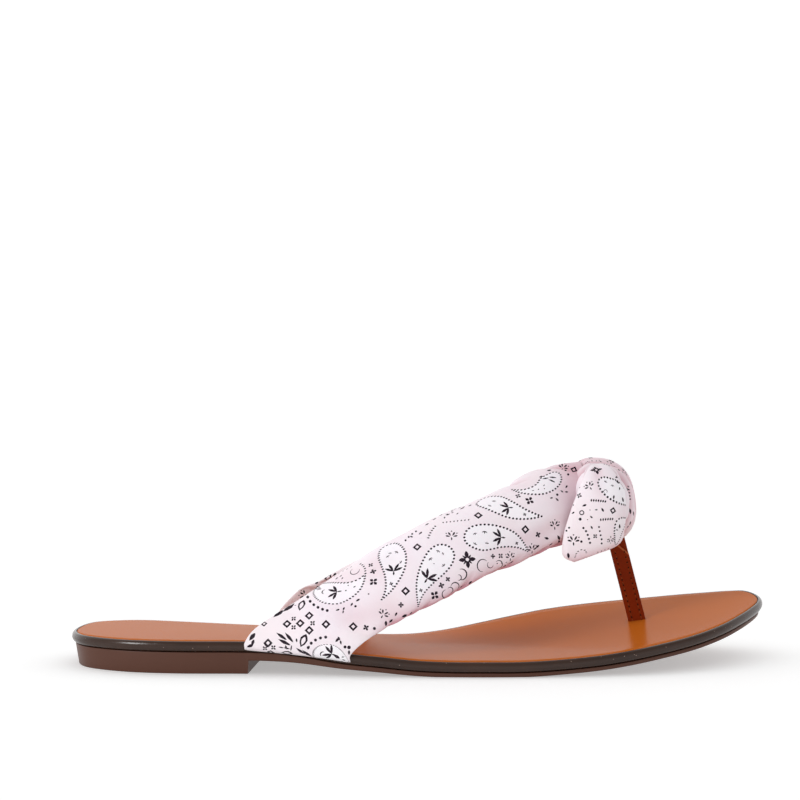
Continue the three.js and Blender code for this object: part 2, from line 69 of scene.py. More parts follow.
# Sections from heel to toe: x, y of the outer and the inner edge, height of the seam at both, y from
# which the seam rises inwards, and how thick the outsole is
soleColumns = ("x", "lateral", "medial", "seamLateral", "seamMedial", "level", "sole")
soleSections = np.array([
    (1.2, -6.0, -6.0, 7.7, 7.7, -20, 3.0),
    (5, -20.2, 13.6, 7.7, 7.7, -20, 3.0),
    (12, -27.4, 19.4, 7.7, 7.7, -20, 3.0),
    (25, -34.4, 21.2, 7.7, 7.7, -20, 3.0),
    (42, -37.5, 16.0, 7.7, 7.7, -20, 3.0),
    (62, -38.0, 11.0, 7.7, 7.4, -20, 2.9),
    (74, -38.7, 9.8, 7.5, 7.0, -20, 2.9),
    (84, -39.7, 10.4, 6.4, 6.2, -18, 2.4),
    (98, -41.6, 13.4, 4.2, 4.3, -14, 1.8),
    (112, -43.3, 17.4, 3.0, 3.1, -8, 1.7),
    (124, -44.4, 22.6, 1.9, 2.7, -2, 1.6),
    (136, -45.2, 28.0, 1.5, 3.6, -2, 1.6),
    (148, -45.5, 33.2, 1.5, 5.4, -4, 1.6),
    (160, -45.0, 38.4, 1.5, 7.3, -9, 1.6),
    (174, -43.5, 42.8, 2.1, 9.4, -18, 1.5),
    (190, -40.6, 44.9, 3.4, 11.2, -29, 1.5),
    (206, -36.2, 43.9, 5.7, 12.9, -36, 1.5),
    (222, -28.2, 41.0, 8.5, 14.8, -28, 1.5),
    (233, -19.5, 37.6, 11.1, 16.1, -20, 1.5),
    (241, -9.8, 34.2, 13.5, 17.1, -10, 1.5),
    (247, 0.6, 29.4, 15.3, 17.7, 0, 1.4),
    (250.8, 15.0, 15.0, 16.9, 16.9, 10, 1.3),
])


def toFrame(points):
    middle = np.array([(sole["heelEnd"] + sole["toeEnd"]) / 2, sole["centreLine"], 0.0])
    return (np.asarray(points, float) - middle) / 1000


def turnAt(x):
    share = (np.asarray(x, float) - sole["heelEnd"]) / (sole["toeEnd"] - sole["heelEnd"])
    return np.arccos(1 - 2 * np.clip(share, 0, 1))


sectionKnots = turnAt(soleSections[:, 0])


def sectionValue(column, x):      # a smooth curve through one column of the table
    values = soleSections[:, soleColumns.index(column)]
    last = len(values) - 1
    before = np.maximum(np.arange(last + 1) - 1, 0)
    after = np.minimum(np.arange(last + 1) + 1, last)
    slopes = (values[after] - values[before]) / (sectionKnots[after] - sectionKnots[before])
    at = turnAt(x)
    i = np.clip(np.searchsorted(sectionKnots, at) - 1, 0, last - 1)
    width = sectionKnots[i + 1] - sectionKnots[i]
    t = (at - sectionKnots[i]) / width
    rise = t * t * (3 - 2 * t)
    return (values[i] * (1 - rise) + values[i + 1] * rise
            + (t ** 3 - 2 * t ** 2 + t) * width * slopes[i]
            + (t ** 3 - t ** 2) * width * slopes[i + 1])


def seamHeight(x, y):             # the seam between outsole and insole board
    level = sectionValue("level", x)
    low = sectionValue("seamLateral", x)
    high = sectionValue("seamMedial", x)
    span = np.maximum(sectionValue("medial", x) - level, 1)
    share = np.clip((y - level) / span, 0, 1)
    return low + (high - low) * share ** sole["riseShape"]


def slantAt(y):
    return sole["breastSlant"] * (y - sole["breastMiddle"]) / sole["breastHalf"]


def underHeel(x, y):
    return x < sole["breastX"] + slantAt(y)


def soleBottom(x, y):
    forepart = np.maximum(seamHeight(x, y) - sectionValue("sole", x), 0)
    return np.where(underHeel(x, y), 0.0, forepart)


def soleOutline():                # points round the sole and their outward normals
    turns = np.pi * np.arange(1, sole["stations"]) / sole["stations"]
    xs = sole["heelEnd"] + (sole["toeEnd"] - sole["heelEnd"]) * (1 - np.cos(turns)) / 2
    xs = xs[np.abs(xs - sole["breastX"]) > sole["breastClear"]]
    xs = np.concatenate([xs, [sole["breastX"]] * 2])
    steps = np.concatenate([np.zeros(len(xs) - 2), [-sole["breastStep"], sole["breastStep"]]])
    order = np.lexsort((steps, xs))
    xs, steps = xs[order], steps[order]

    def place(column):
        y = sectionValue(column, xs)
        bend = np.exp(-((xs - sole["breastX"]) / sole["breastWidth"]) ** 2)
        x = xs + bend * slantAt(y)
        return np.stack([x + steps, sectionValue(column, x)], 1)

    heel = [[sole["heelEnd"], soleSections[0, 1]]]
    toe = [[sole["toeEnd"], soleSections[-1, 1]]]
    points = np.concatenate([heel, place("lateral"), toe, place("medial")[::-1]])
    along = np.roll(points, -1, 0) - np.roll(points, 1, 0)
    along /= np.linalg.norm(along, axis=1)[:, None]
    return points, np.stack([along[:, 1], -along[:, 0]], 1), len(xs)


outlinePoints, outlineNormals, outlineHalf = soleOutline()


def plateShape(rings):            # rings run from the bottom face, over the edge, to the top face
    count = len(outlinePoints)
    points, faces = [], []
    for inset, height in rings:
        x, y = outlinePoints.T
        reach = inset(x, y) if callable(inset) else inset
        x, y = (outlinePoints - outlineNormals * np.reshape(reach, (-1, 1))).T
        points.extend(np.stack([x, y, height(x, y)], 1))
    for r in range(len(rings) - 1):
        for i in range(count):
            j = (i + 1) % count
            faces.append((r * count + i, r * count + j, (r + 1) * count + j, (r + 1) * count + i))
    # the flat faces, in ribs from one side's points to the other's
    for ring, height, upward in ((0, rings[0][1], False), (len(rings) - 1, rings[-1][1], True)):
        base = ring * count
        rows = []
        for k in range(1, outlineHalf + 1):
            a, b = base + k, base + count - k
            shares = np.linspace(0, 1, sole["ribs"] + 1)[1:-1]
            x = points[a][0] * (1 - shares) + points[b][0] * shares
            y = points[a][1] * (1 - shares) + points[b][1] * shares
            first = len(points)
            points.extend(np.stack([x, y, height(x, y)], 1))
            rows.append([a, *range(first, first + len(shares)), b])
        add = (lambda *f: faces.append(f)) if upward else (lambda *f: faces.append(f[::-1]))
        for near, far in zip(rows, rows[1:]):
            for m in range(sole["ribs"]):
                add(near[m], far[m], far[m + 1], near[m + 1])
        for m in range(sole["ribs"]):
            add(base, rows[0][m], rows[0][m + 1])
            add(base + outlineHalf + 1, rows[-1][m + 1], rows[-1][m])
    return np.array(points), faces


# paint is a material for each face; normals, cloth (the UV map) and shade hold a row for each point
def makePiece(name, points, faces, materials, normals=None, paint=None, cloth=None, shade=None):
    mesh = bpy.data.meshes.new(name)
    mesh.from_pydata(toFrame(points).tolist(), [], [tuple(map(int, face)) for face in faces])
    piece = bpy.data.objects.new(name, mesh)
    bpy.context.scene.collection.objects.link(piece)
    for material in materials:
        mesh.materials.append(material)
    mesh.polygons.foreach_set("use_smooth", [True] * len(mesh.polygons))
    if paint is not None:
        mesh.polygons.foreach_set("material_index", np.asarray(paint, np.int32))
    if cloth is not None:
        corners = np.zeros(len(mesh.loops), np.int32)
        mesh.loops.foreach_get("vertex_index", corners)
        layer = mesh.uv_layers.new(name="cloth")
        layer.data.foreach_set("uv", np.asarray(cloth, np.float32)[corners].ravel())
    if shade is not None:
        layer = mesh.attributes.new("shade", "FLOAT", "POINT")
        layer.data.foreach_set("value", np.asarray(shade, np.float32))
    mesh.update()
    if normals is not None:
        mesh.normals_split_custom_set_from_vertices(np.asarray(normals).tolist())
    return piece


def finishPiece(piece, slotName, *nodes):
    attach(piece, "root")
    if nodes:
        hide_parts(*nodes)


# Materials
def colour(code):                 # a screen colour such as "a86240" as linear red, green, blue
    parts = [int(code[i:i + 2], 16) / 255 for i in (0, 2, 4)]
    return (*[p / 12.92 if p <= 0.04045 else ((p + 0.055) / 1.055) ** 2.4 for p in parts], 1.0)


def newMaterial(name, **settings):
    material = bpy.data.materials.new(name)
    material.use_nodes = True
    shader = material.node_tree.nodes["Principled BSDF"]
    for socket, value in settings.items():
        shader.inputs[socket.replace("_", " ")].default_value = value
    return material, material.node_tree, shader


def addNode(tree, kind, links=None, **settings):
    node = tree.nodes.new(kind)
    for key, value in settings.items():
        if key.startswith("set_"):
            setattr(node, key[4:], value)
        else:
            node.inputs[key.replace("_", " ")].default_value = value
    for key, socket in (links or {}).items():
        tree.links.new(socket, node.inputs[key])
    return node


def newGroup(name, inputs, outputs):
    tree = bpy.data.node_groups.new(name, "ShaderNodeTree")
    for label, value in inputs.items():
        socket = tree.interface.new_socket(label, in_out="INPUT", socket_type="NodeSocketFloat")
        socket.default_value = value
    for label, kind in outputs.items():
        tree.interface.new_socket(label, in_out="OUTPUT", socket_type="NodeSocket" + kind)
    return tree, tree.nodes.new("NodeGroupInput"), tree.nodes.new("NodeGroupOutput")


def mixColours(tree, factor, first, second):
    node = tree.nodes.new("ShaderNodeMix")
    node.data_type = "RGBA"
    for socket, value in ((node.inputs[0], factor), (node.inputs[6], first), (node.inputs[7], second)):
        if isinstance(value, bpy.types.NodeSocket):
            tree.links.new(value, socket)
        else:
            socket.default_value = value
    return node.outputs[2]


# Cloudy shades, fine grain and sparse flecks, all read from Object coordinates
def buildSurfaceGroup():
    tree, source, result = newGroup(
        "surfaceGrain",
        {"Cloud Scale": 20.0, "Grain Scale": 900.0, "Grain Depth": 0.2, "Fleck Scale": 300.0,
         "Fleck Share": 0.1},
        {"Cloud": "Float", "Grain": "Float", "Fleck": "Float", "Normal": "Vector"})
    place = addNode(tree, "ShaderNodeTexCoord").outputs["Object"]
    cloud = addNode(tree, "ShaderNodeTexNoise", {"Vector": place, "Scale": source.outputs["Cloud Scale"]},
                    Detail=3.0)
    grain = addNode(tree, "ShaderNodeTexNoise", {"Vector": place, "Scale": source.outputs["Grain Scale"]},
                    Detail=5.0, Roughness=0.65)
    cells = addNode(tree, "ShaderNodeTexVoronoi", {"Vector": place, "Scale": source.outputs["Fleck Scale"]})
    fleck = addNode(tree, "ShaderNodeMath", {0: cells.outputs["Distance"], 1: source.outputs["Fleck Share"]},
                    set_operation="LESS_THAN")
    bump = addNode(tree, "ShaderNodeBump", {"Height": grain.outputs["Fac"],
                                            "Strength": source.outputs["Grain Depth"]}, Distance=0.0002)
    tree.links.new(cloud.outputs["Fac"], result.inputs["Cloud"])
    tree.links.new(grain.outputs["Fac"], result.inputs["Grain"])
    tree.links.new(fleck.outputs[0], result.inputs["Fleck"])
    tree.links.new(bump.outputs["Normal"], result.inputs["Normal"])
    return tree


surfaceGroup = buildSurfaceGroup()


# Plain materials: two shades that drift into each other, gloss, and the grain; scales are per metre
plainLooks = {
    "mouldedRubber": {"base": "4d2f24", "warm": "57372b", "roughness": 0.42, "specular": 0.22,
                      "clouds": 25.0, "grain": 1500.0, "depth": 0.12},
    "edgePaint": {"base": "1e1008", "warm": "3c2519", "roughness": 0.22, "specular": 0.4,
                  "clouds": 60.0, "grain": 700.0, "depth": 0.25,
                  "fleck": "8a7468", "fleckScale": 420.0, "fleckShare": 0.07},
    "insoleLeather": {"base": "ab5614", "warm": "b5601e", "roughness": 0.24, "specular": 0.01,
                      "clouds": 16.0, "grain": 1100.0, "depth": 0.16, "glossSpread": (-0.04, 0.06)},
}
# the hole colour is painted shade: dark marks that stand for the shadowed insides of the needle holes
for name, base, warm in (("postLeather", "6e1e03", "862d06"), ("postCutEdge", "9c5230", "b8683c"),
                         ("postHoleShade", "2c0a04", "381006"), ("postThread", "7a3616", "8f4a26")):
    plainLooks[name] = {"base": base, "warm": warm, "roughness": 0.42, "specular": 0.05,
                        "clouds": 120.0, "grain": 1600.0, "depth": 0.3}
surfaceSockets = {"clouds": "Cloud Scale", "grain": "Grain Scale", "depth": "Grain Depth",
                  "fleckScale": "Fleck Scale", "fleckShare": "Fleck Share"}


def buildPlain(name):
    look = plainLooks[name]
    material, tree, shader = newMaterial(name, Roughness=look["roughness"],
                                         Specular_IOR_Level=look["specular"])
    grain = tree.nodes.new("ShaderNodeGroup")
    grain.node_tree = surfaceGroup
    for key, socket in surfaceSockets.items():
        if key in look:
            grain.inputs[socket].default_value = look[key]
    shade = mixColours(tree, grain.outputs["Cloud"], colour(look["base"]), colour(look["warm"]))
    if "fleck" in look:
        shade = mixColours(tree, grain.outputs["Fleck"], shade, colour(look["fleck"]))
    if "glossSpread" in look:          # how much glossier and duller the grain makes it
        gloss = addNode(tree, "ShaderNodeMapRange", {"Value": grain.outputs["Grain"]})
        gloss.inputs["To Min"].default_value = look["roughness"] + look["glossSpread"][0]
        gloss.inputs["To Max"].default_value = look["roughness"] + look["glossSpread"][1]
        tree.links.new(gloss.outputs["Result"], shader.inputs["Roughness"])
    tree.links.new(shade, shader.inputs["Base Color"])
    tree.links.new(grain.outputs["Normal"], shader.inputs["Normal"])
    return material


# Woven threads on the cloth's own UV map, which is in millimetres
def buildWeaveGroup():
    tree, source, result = newGroup("clothWeave", {"Thread Pitch": 0.28, "Depth": 0.25},
                                    {"Cloud": "Float", "Normal": "Vector"})
    place = addNode(tree, "ShaderNodeUVMap", set_uv_map="cloth").outputs["UV"]
    parts = addNode(tree, "ShaderNodeSeparateXYZ", {"Vector": place})
    waves = []
    for axis in ("X", "Y"):
        turns = addNode(tree, "ShaderNodeMath", {0: parts.outputs[axis], 1: source.outputs["Thread Pitch"]},
                        set_operation="DIVIDE")
        angle = addNode(tree, "ShaderNodeMath", {0: turns.outputs[0]}, set_operation="MULTIPLY")
        angle.inputs[1].default_value = math.tau
        waves.append(addNode(tree, "ShaderNodeMath", {0: angle.outputs[0]}, set_operation="SINE"))
    weave = addNode(tree, "ShaderNodeMath", {0: waves[0].outputs[0], 1: waves[1].outputs[0]},
                    set_operation="MULTIPLY")
    bump = addNode(tree, "ShaderNodeBump", {"Height": weave.outputs[0], "Strength": source.outputs["Depth"]},
                   Distance=0.00005)
    solid = addNode(tree, "ShaderNodeTexCoord").outputs["Object"]
    cloud = addNode(tree, "ShaderNodeTexNoise", {"Vector": solid}, Scale=45.0, Detail=2.0)
    tree.links.new(cloud.outputs["Fac"], result.inputs["Cloud"])
    tree.links.new(bump.outputs["Normal"], result.inputs["Normal"])
    return tree


weaveGroup = buildWeaveGroup()


clothLook = {
    "roughness": 0.55,
    "specular": 0.3,
    "inkSpecular": 0.15,               # ink is duller, has no sheen and lets no light through
    "sheen": 0.1,
    "sheenRoughness": 0.35,
    "lightThrough": 0.25,              # how much light goes in and comes out beside, and how far
    "lightRadius": (1.0, 0.85, 0.9),
    "lightDepth": 0.003,
    # colours of the cloth, of its cooler patches, and of the painted shade that the shade attribute lays
    # into folds, low edges and ends
    "clothGround": ("f1e5e7", "ebe1eb", "cc939f"),
    "clothInk": ("20151f", "2a1d2a", "20151f"),
    "clothFill": ("f6f0f3", "f0ecf3", "dcc4d0"),
}


def buildCloth(name):
    isInk = name == "clothInk"
    gloss = clothLook["inkSpecular"] if isInk else clothLook["specular"]
    material, tree, shader = newMaterial(name, Roughness=clothLook["roughness"], Specular_IOR_Level=gloss)
    if not isInk:
        shader.inputs["Sheen Weight"].default_value = clothLook["sheen"]
        shader.inputs["Sheen Roughness"].default_value = clothLook["sheenRoughness"]
        shader.inputs["Subsurface Weight"].default_value = clothLook["lightThrough"]
        shader.inputs["Subsurface Radius"].default_value = clothLook["lightRadius"]
        shader.inputs["Subsurface Scale"].default_value = clothLook["lightDepth"]
    weave = tree.nodes.new("ShaderNodeGroup")
    weave.node_tree = weaveGroup
    # painted shade: the shade attribute darkens the cloth towards its third colour in folds, along low edges
    # and at ends
    folds = addNode(tree, "ShaderNodeAttribute", set_attribute_name="shade")
    base, cool, shaded = (colour(code) for code in clothLook[name])
    tint = mixColours(tree, weave.outputs["Cloud"], base, cool)
    tint = mixColours(tree, folds.outputs["Fac"], tint, shaded)
    tree.links.new(tint, shader.inputs["Base Color"])
    tree.links.new(weave.outputs["Normal"], shader.inputs["Normal"])
    return material


rubber, edgePaint, insoleLeather, postLeather, postCutEdge, postHoleShade, postThread = [
    buildPlain(name) for name in plainLooks]
clothLooks = [buildCloth(name) for name in ("clothGround", "clothInk", "clothFill")]
print("materials made")


# Sole: outsole with its heel, insole board with the painted edge, insole cover
def buildSole():
    def seamPlus(rise):
        return lambda x, y: seamHeight(x, y) + rise

    def bottomPlus(rise):
        return lambda x, y: soleBottom(x, y) + rise

    def floorInset(extra):
        forepart = sole["soleInset"] + sole["footInset"]
        return lambda x, y: np.where(underHeel(x, y), sole["heelInset"], forepart) + extra

    outsoleRings = [(floorInset(extra), bottomPlus(rise)) for extra, rise in sole["lowerEdge"]]
    outsoleRings += [(sole["soleInset"] + extra, seamPlus(rise)) for extra, rise in sole["upperEdge"]]
    boardRings = [(inset, seamPlus(rise)) for inset, rise in sole["boardEdge"]]
    coverRings = [(inset, seamPlus(rise)) for inset, rise in sole["coverEdge"]]
    pieces = (
        ("outsoleRubber", outsoleRings, rubber, "sole_rubber", "outsole"),
        ("insoleBoard", boardRings, edgePaint, "edge_finish", "insole_board"),
        ("insoleCover", coverRings, insoleLeather, "insole_leather", "insole_cover"),
    )
    for (name, rings, material, slotName, node), angle in zip(pieces, sole["sharpAngles"]):
        piece = makePiece(name, *plateShape(rings), [material])
        piece.data.set_sharp_from_angle(angle=math.radians(angle))
        finishPiece(piece, slotName, node)


buildSole()
print("sole made")


# Ribbons of padded cloth. along runs from 0 to 1; around is 0 at the front edge and 1 at the rear
# edge of the outer face, and goes on to the inner face, which is cut down its middle.
def smoothPath(points, t):        # a centripetal curve through points, t from 0 to 1
    points = np.asarray(points, float)
    ends = [2 * points[0] - points[1], *points, 2 * points[-1] - points[-2]]
    ends = np.array(ends)
    place = np.clip(t, 0, 1) * (len(points) - 1)
    i = np.minimum(place.astype(int), len(points) - 2)
    w = (place - i)[:, None]
    p0, p1, p2, p3 = ends[i], ends[i + 1], ends[i + 2], ends[i + 3]
    d0, d1, d2 = (np.maximum(np.linalg.norm(b - a, axis=1), 1e-3)[:, None] ** 0.5
                  for a, b in ((p0, p1), (p1, p2), (p2, p3)))
    m1 = d1 * ((p1 - p0) / d0 - (p2 - p0) / (d0 + d1) + (p2 - p1) / d1)
    m2 = d1 * ((p2 - p1) / d1 - (p3 - p1) / (d1 + d2) + (p3 - p2) / d2)
    return (p1 + m1 * w + (3 * (p2 - p1) - 2 * m1 - m2) * w ** 2
            + (2 * (p1 - p2) + m1 + m2) * w ** 3)


edgeTurns = (                     # out past the board's outermost line, up from the seam, thickness
    (-9.0, 1.1, 1.2), (-2.6, 1.1, 1.2), (-0.2, 1.25, 1.2), (0.85, 2.1, 1.2), (1.1, 3.4, 1.3),
)


def edgePoint(column, side, x, out, up):
    slope = (sectionValue(column, x + 1) - sectionValue(column, x - 1)) / 2
    normal = np.array([-slope, 1]) / np.hypot(slope, 1) * side
    px, py = x + normal[0] * out, sectionValue(column, x) + normal[1] * out
    return np.array([px, py, seamHeight(px, py) + up])


def ribbonRails(ribbon, steps=500):    # front, middle and rear control curves and the thickness
    front, middle, rear, thick = [], [], [], []
    side = ribbon["side"]
    for out, up, depth in ribbon.get("turns", ()):
        for rail, x in zip((front, middle, rear), ribbon["edgeX"]):
            rail.append(edgePoint(ribbon["column"], side, x, out, up))
        thick.append(depth)
    fronts = np.array([row[0] for row in ribbon["rows"]], float)
    rears = np.array([row[1] for row in ribbon["rows"]], float)
    for i, (f, r, bulge, depth) in enumerate(ribbon["rows"]):
        after, before = min(i + 1, len(fronts) - 1), max(i - 1, 0)
        along = fronts[after] + rears[after] - fronts[before] - rears[before]
        out = np.cross(along, rears[i] - fronts[i])
        out *= -side * bulge / np.linalg.norm(out)
        front.append(fronts[i])
        middle.append((fronts[i] + rears[i]) / 2 + out)
        rear.append(rears[i])
        thick.append(depth)
    t = np.linspace(0, 1, steps)
    rails = [smoothPath(rail, t) for rail in (front, middle, rear)]
    knots = np.linspace(0, 1, len(thick))
    return t, rails, np.interp(t, knots, thick)


def ribbonForm(ribbon):           # the ribbon's padded shape as a function of along and around
    t, rails, thick = ribbonRails(ribbon)
    slopes = [np.gradient(rail, t, axis=0) for rail in rails]
    startRound = ribbon.get("startRound", 0)

    def at(table, along):
        return np.stack([np.interp(along, t, table[:, k]) for k in range(3)], 1)

    def form(along, around):
        angle = np.pi * (1 - around)
        u = np.cos(angle)[:, None]
        weights = (u * (u - 1) / 2, 1 - u * u, u * (u + 1) / 2)
        tilts = ((2 * u - 1) / 2, -2 * u, (2 * u + 1) / 2)
        spot = sum(at(rail, along) * w for rail, w in zip(rails, weights))
        across = sum(at(rail, along) * w for rail, w in zip(rails, tilts))
        forward = sum(at(slope, along) * w for slope, w in zip(slopes, weights))
        normal = np.cross(forward, across) * -ribbon["side"]
        normal /= np.maximum(np.linalg.norm(normal, axis=1), 1e-9)[:, None]
        half = np.interp(along, t, thick) / 2
        if startRound:
            half = half * np.sqrt(1 - (1 - np.clip(along / startRound, 0.02, 1)) ** 2)
        sine = np.sin(angle)
        lift = np.sign(sine) * np.abs(sine) ** ribbon.get("roundness", 0.8) * half
        return spot + normal * lift[:, None]

    return form


def creaseDepth(creases, size, along, around):   # soft troughs and ridges, each from end to end
    depth = np.zeros(len(along))
    place = np.stack([along * size[0], around * size[1]], 1)
    for fromAlong, fromAround, toAlong, toAround, width, deep in creases:
        start = np.array([fromAlong * size[0], fromAround * size[1]])
        way = np.array([toAlong * size[0], toAround * size[1]]) - start
        share = ((place - start) @ way) / (way @ way)
        share = np.clip(share, 0, 1)
        off = np.linalg.norm(place - start - share[:, None] * way, axis=1)
        fade = np.sin(np.pi * (0.12 + 0.76 * share))        # shallower towards both ends
        depth -= deep * fade * np.exp(-(off / width) ** 2)
    return depth


def clothForm(form, relief):      # the padded shape with its folds, and its normals
    formStep, reliefStep = 0.004, 0.0015

    def normalOf(shape, along, around, step):
        low, high = np.clip(along - step, 0, 1), np.clip(along + step, 0, 1)
        forward = shape(high, around) - shape(low, around)
        across = shape(along, around + step) - shape(along, around - step)
        normal = np.cross(forward, across)
        return normal / np.maximum(np.linalg.norm(normal, axis=1), 1e-9)[:, None]

    def shape(along, around):
        normal = normalOf(form, along, around, formStep) * relief["sign"]
        return form(along, around) + normal * relief["height"](along, around)[:, None]

    def normals(along, around):
        return normalOf(shape, along, around, reliefStep) * relief["sign"]

    return shape, normals


# The photo's camera, which also says where each printed figure lies on the cloth
view = {
    "place": (118.5, -1000.0, 146.0),     # mm, on the sole's scale
    "pitch": 3.0,                         # degrees below level
    "focal": 2790.0,                      # px
    "centre": 400.0,
    "pictureSize": 800.0,
    "sensor": 36.0,                       # mm
    "clipEnd": 50.0,                      # m
    "strapDistance": 990.0,               # mm, where rows of dots get their size
    "pastDistance": 985.0,                # where a figure past the cloth's outline is looked for
    "searchDistances": (940, 1060, 6),    # and a point of a line past it: from, to, step
}


def viewRay(px, py):
    pitch = math.radians(view["pitch"])
    forward = Vector((0, math.cos(pitch), -math.sin(pitch)))
    up = Vector((0, math.sin(pitch), math.cos(pitch)))
    way = forward * view["focal"] + Vector((1, 0, 0)) * (px - view["centre"]) + up * (view["centre"] - py)
    return Vector(view["place"]), way.normalized()


def clothMap(form, size, sign, steps=(150, 110)):     # finds cloth places from points in space
    grid = np.meshgrid(np.linspace(0, 1, steps[0]), np.linspace(-0.5, 1.5, steps[1]), indexing="ij")
    along, around = (part.ravel() for part in grid)
    points = [Vector(p) for p in form(along, around)]
    flat = [Vector((a * size[0], (q + 0.5) * size[1], 0)) for a, q in zip(along, around)]
    faces = []
    for i in range(steps[0] - 1):
        for j in range(steps[1] - 1):
            a = i * steps[1] + j
            faces.append((a, a + 1, a + steps[1] + 1))
            faces.append((a, a + steps[1] + 1, a + steps[1]))
    return {"tree": BVHTree.FromPolygons(points, faces), "points": points, "flat": flat, "faces": faces,
            "size": size, "sign": sign}


def onCloth(cloth, spot, index):
    corners = cloth["faces"][index]
    return barycentric_transform(spot, *[cloth["points"][c] for c in corners],
                                 *[cloth["flat"][c] for c in corners])


# Printed figures. Each is a list of (paint, outline in millimetres); later ones lie on top.
ground, ink, fill = 0, 1, 2


def ring(radius, sides=9, x=0.0, y=0.0):
    return [(x + radius * math.cos(math.tau * k / sides), y + radius * math.sin(math.tau * k / sides))
            for k in range(sides)]


def leaf(length, width, angle=0.0, x=0.0, y=0.0, tip=0.62):   # pointed leaf from x, y along angle
    shape = [(0, 0), (0.3, 0.38), (tip, 0.5), (0.85, 0.28), (1, 0), (0.85, -0.28), (tip, -0.5), (0.3, -0.38)]
    cos, sin = math.cos(math.radians(angle)), math.sin(math.radians(angle))
    return [(x + a * length * cos - b * width * sin, y + a * length * sin + b * width * cos)
            for a, b in shape]


def drawDot(size):
    return [(ink, ring(size / 2))]


def drawDiamond(size):
    return [(ink, ring(size * 0.54, 4)), (ground, ring(size * 0.235, 4))]


def drawRing(size):
    return [(ink, ring(size / 2, 14)), (ground, ring(size * 0.3, 12))]


def drawLeaf(size):
    return [(ink, leaf(size, size * 0.46, 0, -size / 2))]


def drawBlade(size):
    return [(ink, leaf(size, size * 0.24, 0, -size / 2, 0, 0.5))]


def drawOpenLeaf(size):
    return [(ink, leaf(size, size * 0.55, 0, -size / 2)),
            (ground, leaf(size * 0.62, size * 0.28, 0, -size * 0.33))]


def drawSprig(size):              # four leaves that open along the x axis, and a short stem
    figures = [(ink, leaf(size * reach, size * 0.16, a, -size * 0.08))
               for a, reach in ((-66, 0.56), (-30, 0.6), (30, 0.6), (66, 0.56))]
    figures.append((ink, leaf(size * 0.3, size * 0.1, 180, -size * 0.06)))
    return figures


def drawFoot(size):               # three tiny strokes from one point
    return [(ink, leaf(size * 0.8, size * 0.3, a)) for a in (-55, 0, 55)]


def drawSpray(size):              # two upright leaves, two that lie outwards, dots and a short stem
    figures = []
    for a, length in ((14, 0.36), (60, 0.4), (120, 0.4), (166, 0.36)):
        x, y = size * 0.12 * math.cos(math.radians(a)), size * 0.1 * math.sin(math.radians(a))
        figures.append((ink, leaf(size * length, size * 0.15, a, x, y, 0.66)))
    figures.append((ink, leaf(size * 0.3, size * 0.12, 270, 0, -size * 0.02)))
    for a in (38, 90, 142):
        x, y = size * 0.52 * math.cos(math.radians(a)), size * 0.52 * math.sin(math.radians(a))
        figures.append((ink, ring(size * 0.06, 6, x, y)))
    return figures


def drawCluster(size):            # four drops that point to the middle
    figures = []
    for k in range(4):
        a = 45 + 90 * k
        x, y = (size * 0.52 * math.cos(math.radians(a)), size * 0.52 * math.sin(math.radians(a)))
        figures.append((ink, leaf(size * 0.46, size * 0.36, a + 180, x, y, 0.35)))
    return figures


def drawCross(size):
    return [(ink, leaf(size * 0.5, size * 0.34, a)) for a in (0, 90, 180, 270)]


def drawStar(size):               # four broad leaves, four thin ones and an open middle
    figures = [(ink, leaf(size * 0.5, size * 0.24, a)) for a in (0, 90, 180, 270)]
    figures += [(ink, leaf(size * 0.36, size * 0.1, a)) for a in (45, 135, 225, 315)]
    figures.append((ink, ring(size * 0.17, 12)))
    figures.append((ground, ring(size * 0.1, 10)))
    return figures


def drawArc(size, sweep=200.0, pen=0.34):     # a crescent stroke
    steps = 14
    radius = size / 2
    outer, inner = [], []
    for k in range(steps + 1):
        share = k / steps
        a = math.radians(-sweep / 2 + sweep * share)
        half = pen / 2 * math.sin(math.pi * (0.1 + 0.8 * share))
        outer.append(((radius + half) * math.cos(a), (radius + half) * math.sin(a)))
        inner.append(((radius - half) * math.cos(a), (radius - half) * math.sin(a)))
    return [(ink, outer + inner[::-1])]


def drawDashes(size, count=5, tall=1.1, bend=0.0):   # a row of upright strokes along the x axis
    figures = []
    for k in range(count):
        share = k / max(count - 1, 1) - 0.5
        x, y = share * size, bend * (0.25 - share * share)
        figures.append((ink, leaf(tall, tall * 0.6, 78 - 30 * share, x, y - tall / 2, 0.5)))
    return figures


def dotsAlong(points, pitch, size, sides=8):
    points = np.array(points)
    lengths = np.concatenate([[0], np.cumsum(np.linalg.norm(np.diff(points, axis=0), axis=1))])
    count = max(int(lengths[-1] / pitch), 2)
    places = np.linspace(0, lengths[-1], count + 1)[:-1]
    spots = [[np.interp(s, lengths, points[:, k]) for k in (0, 1)] for s in places]
    return [(ink, ring(size / 2, sides, x, y)) for x, y in spots]


drawings = {
    "dot": drawDot, "diamond": drawDiamond, "ring": drawRing, "leaf": drawLeaf, "blade": drawBlade,
    "openLeaf": drawOpenLeaf, "sprig": drawSprig, "spray": drawSpray, "cluster": drawCluster,
    "cross": drawCross, "star": drawStar, "arc": drawArc, "dashes": drawDashes, "foot": drawFoot,
}
printMargins = {"cut": 0.8, "end": 0.4, "rim": 0.1}     # mm without figures beside the cloth's edges


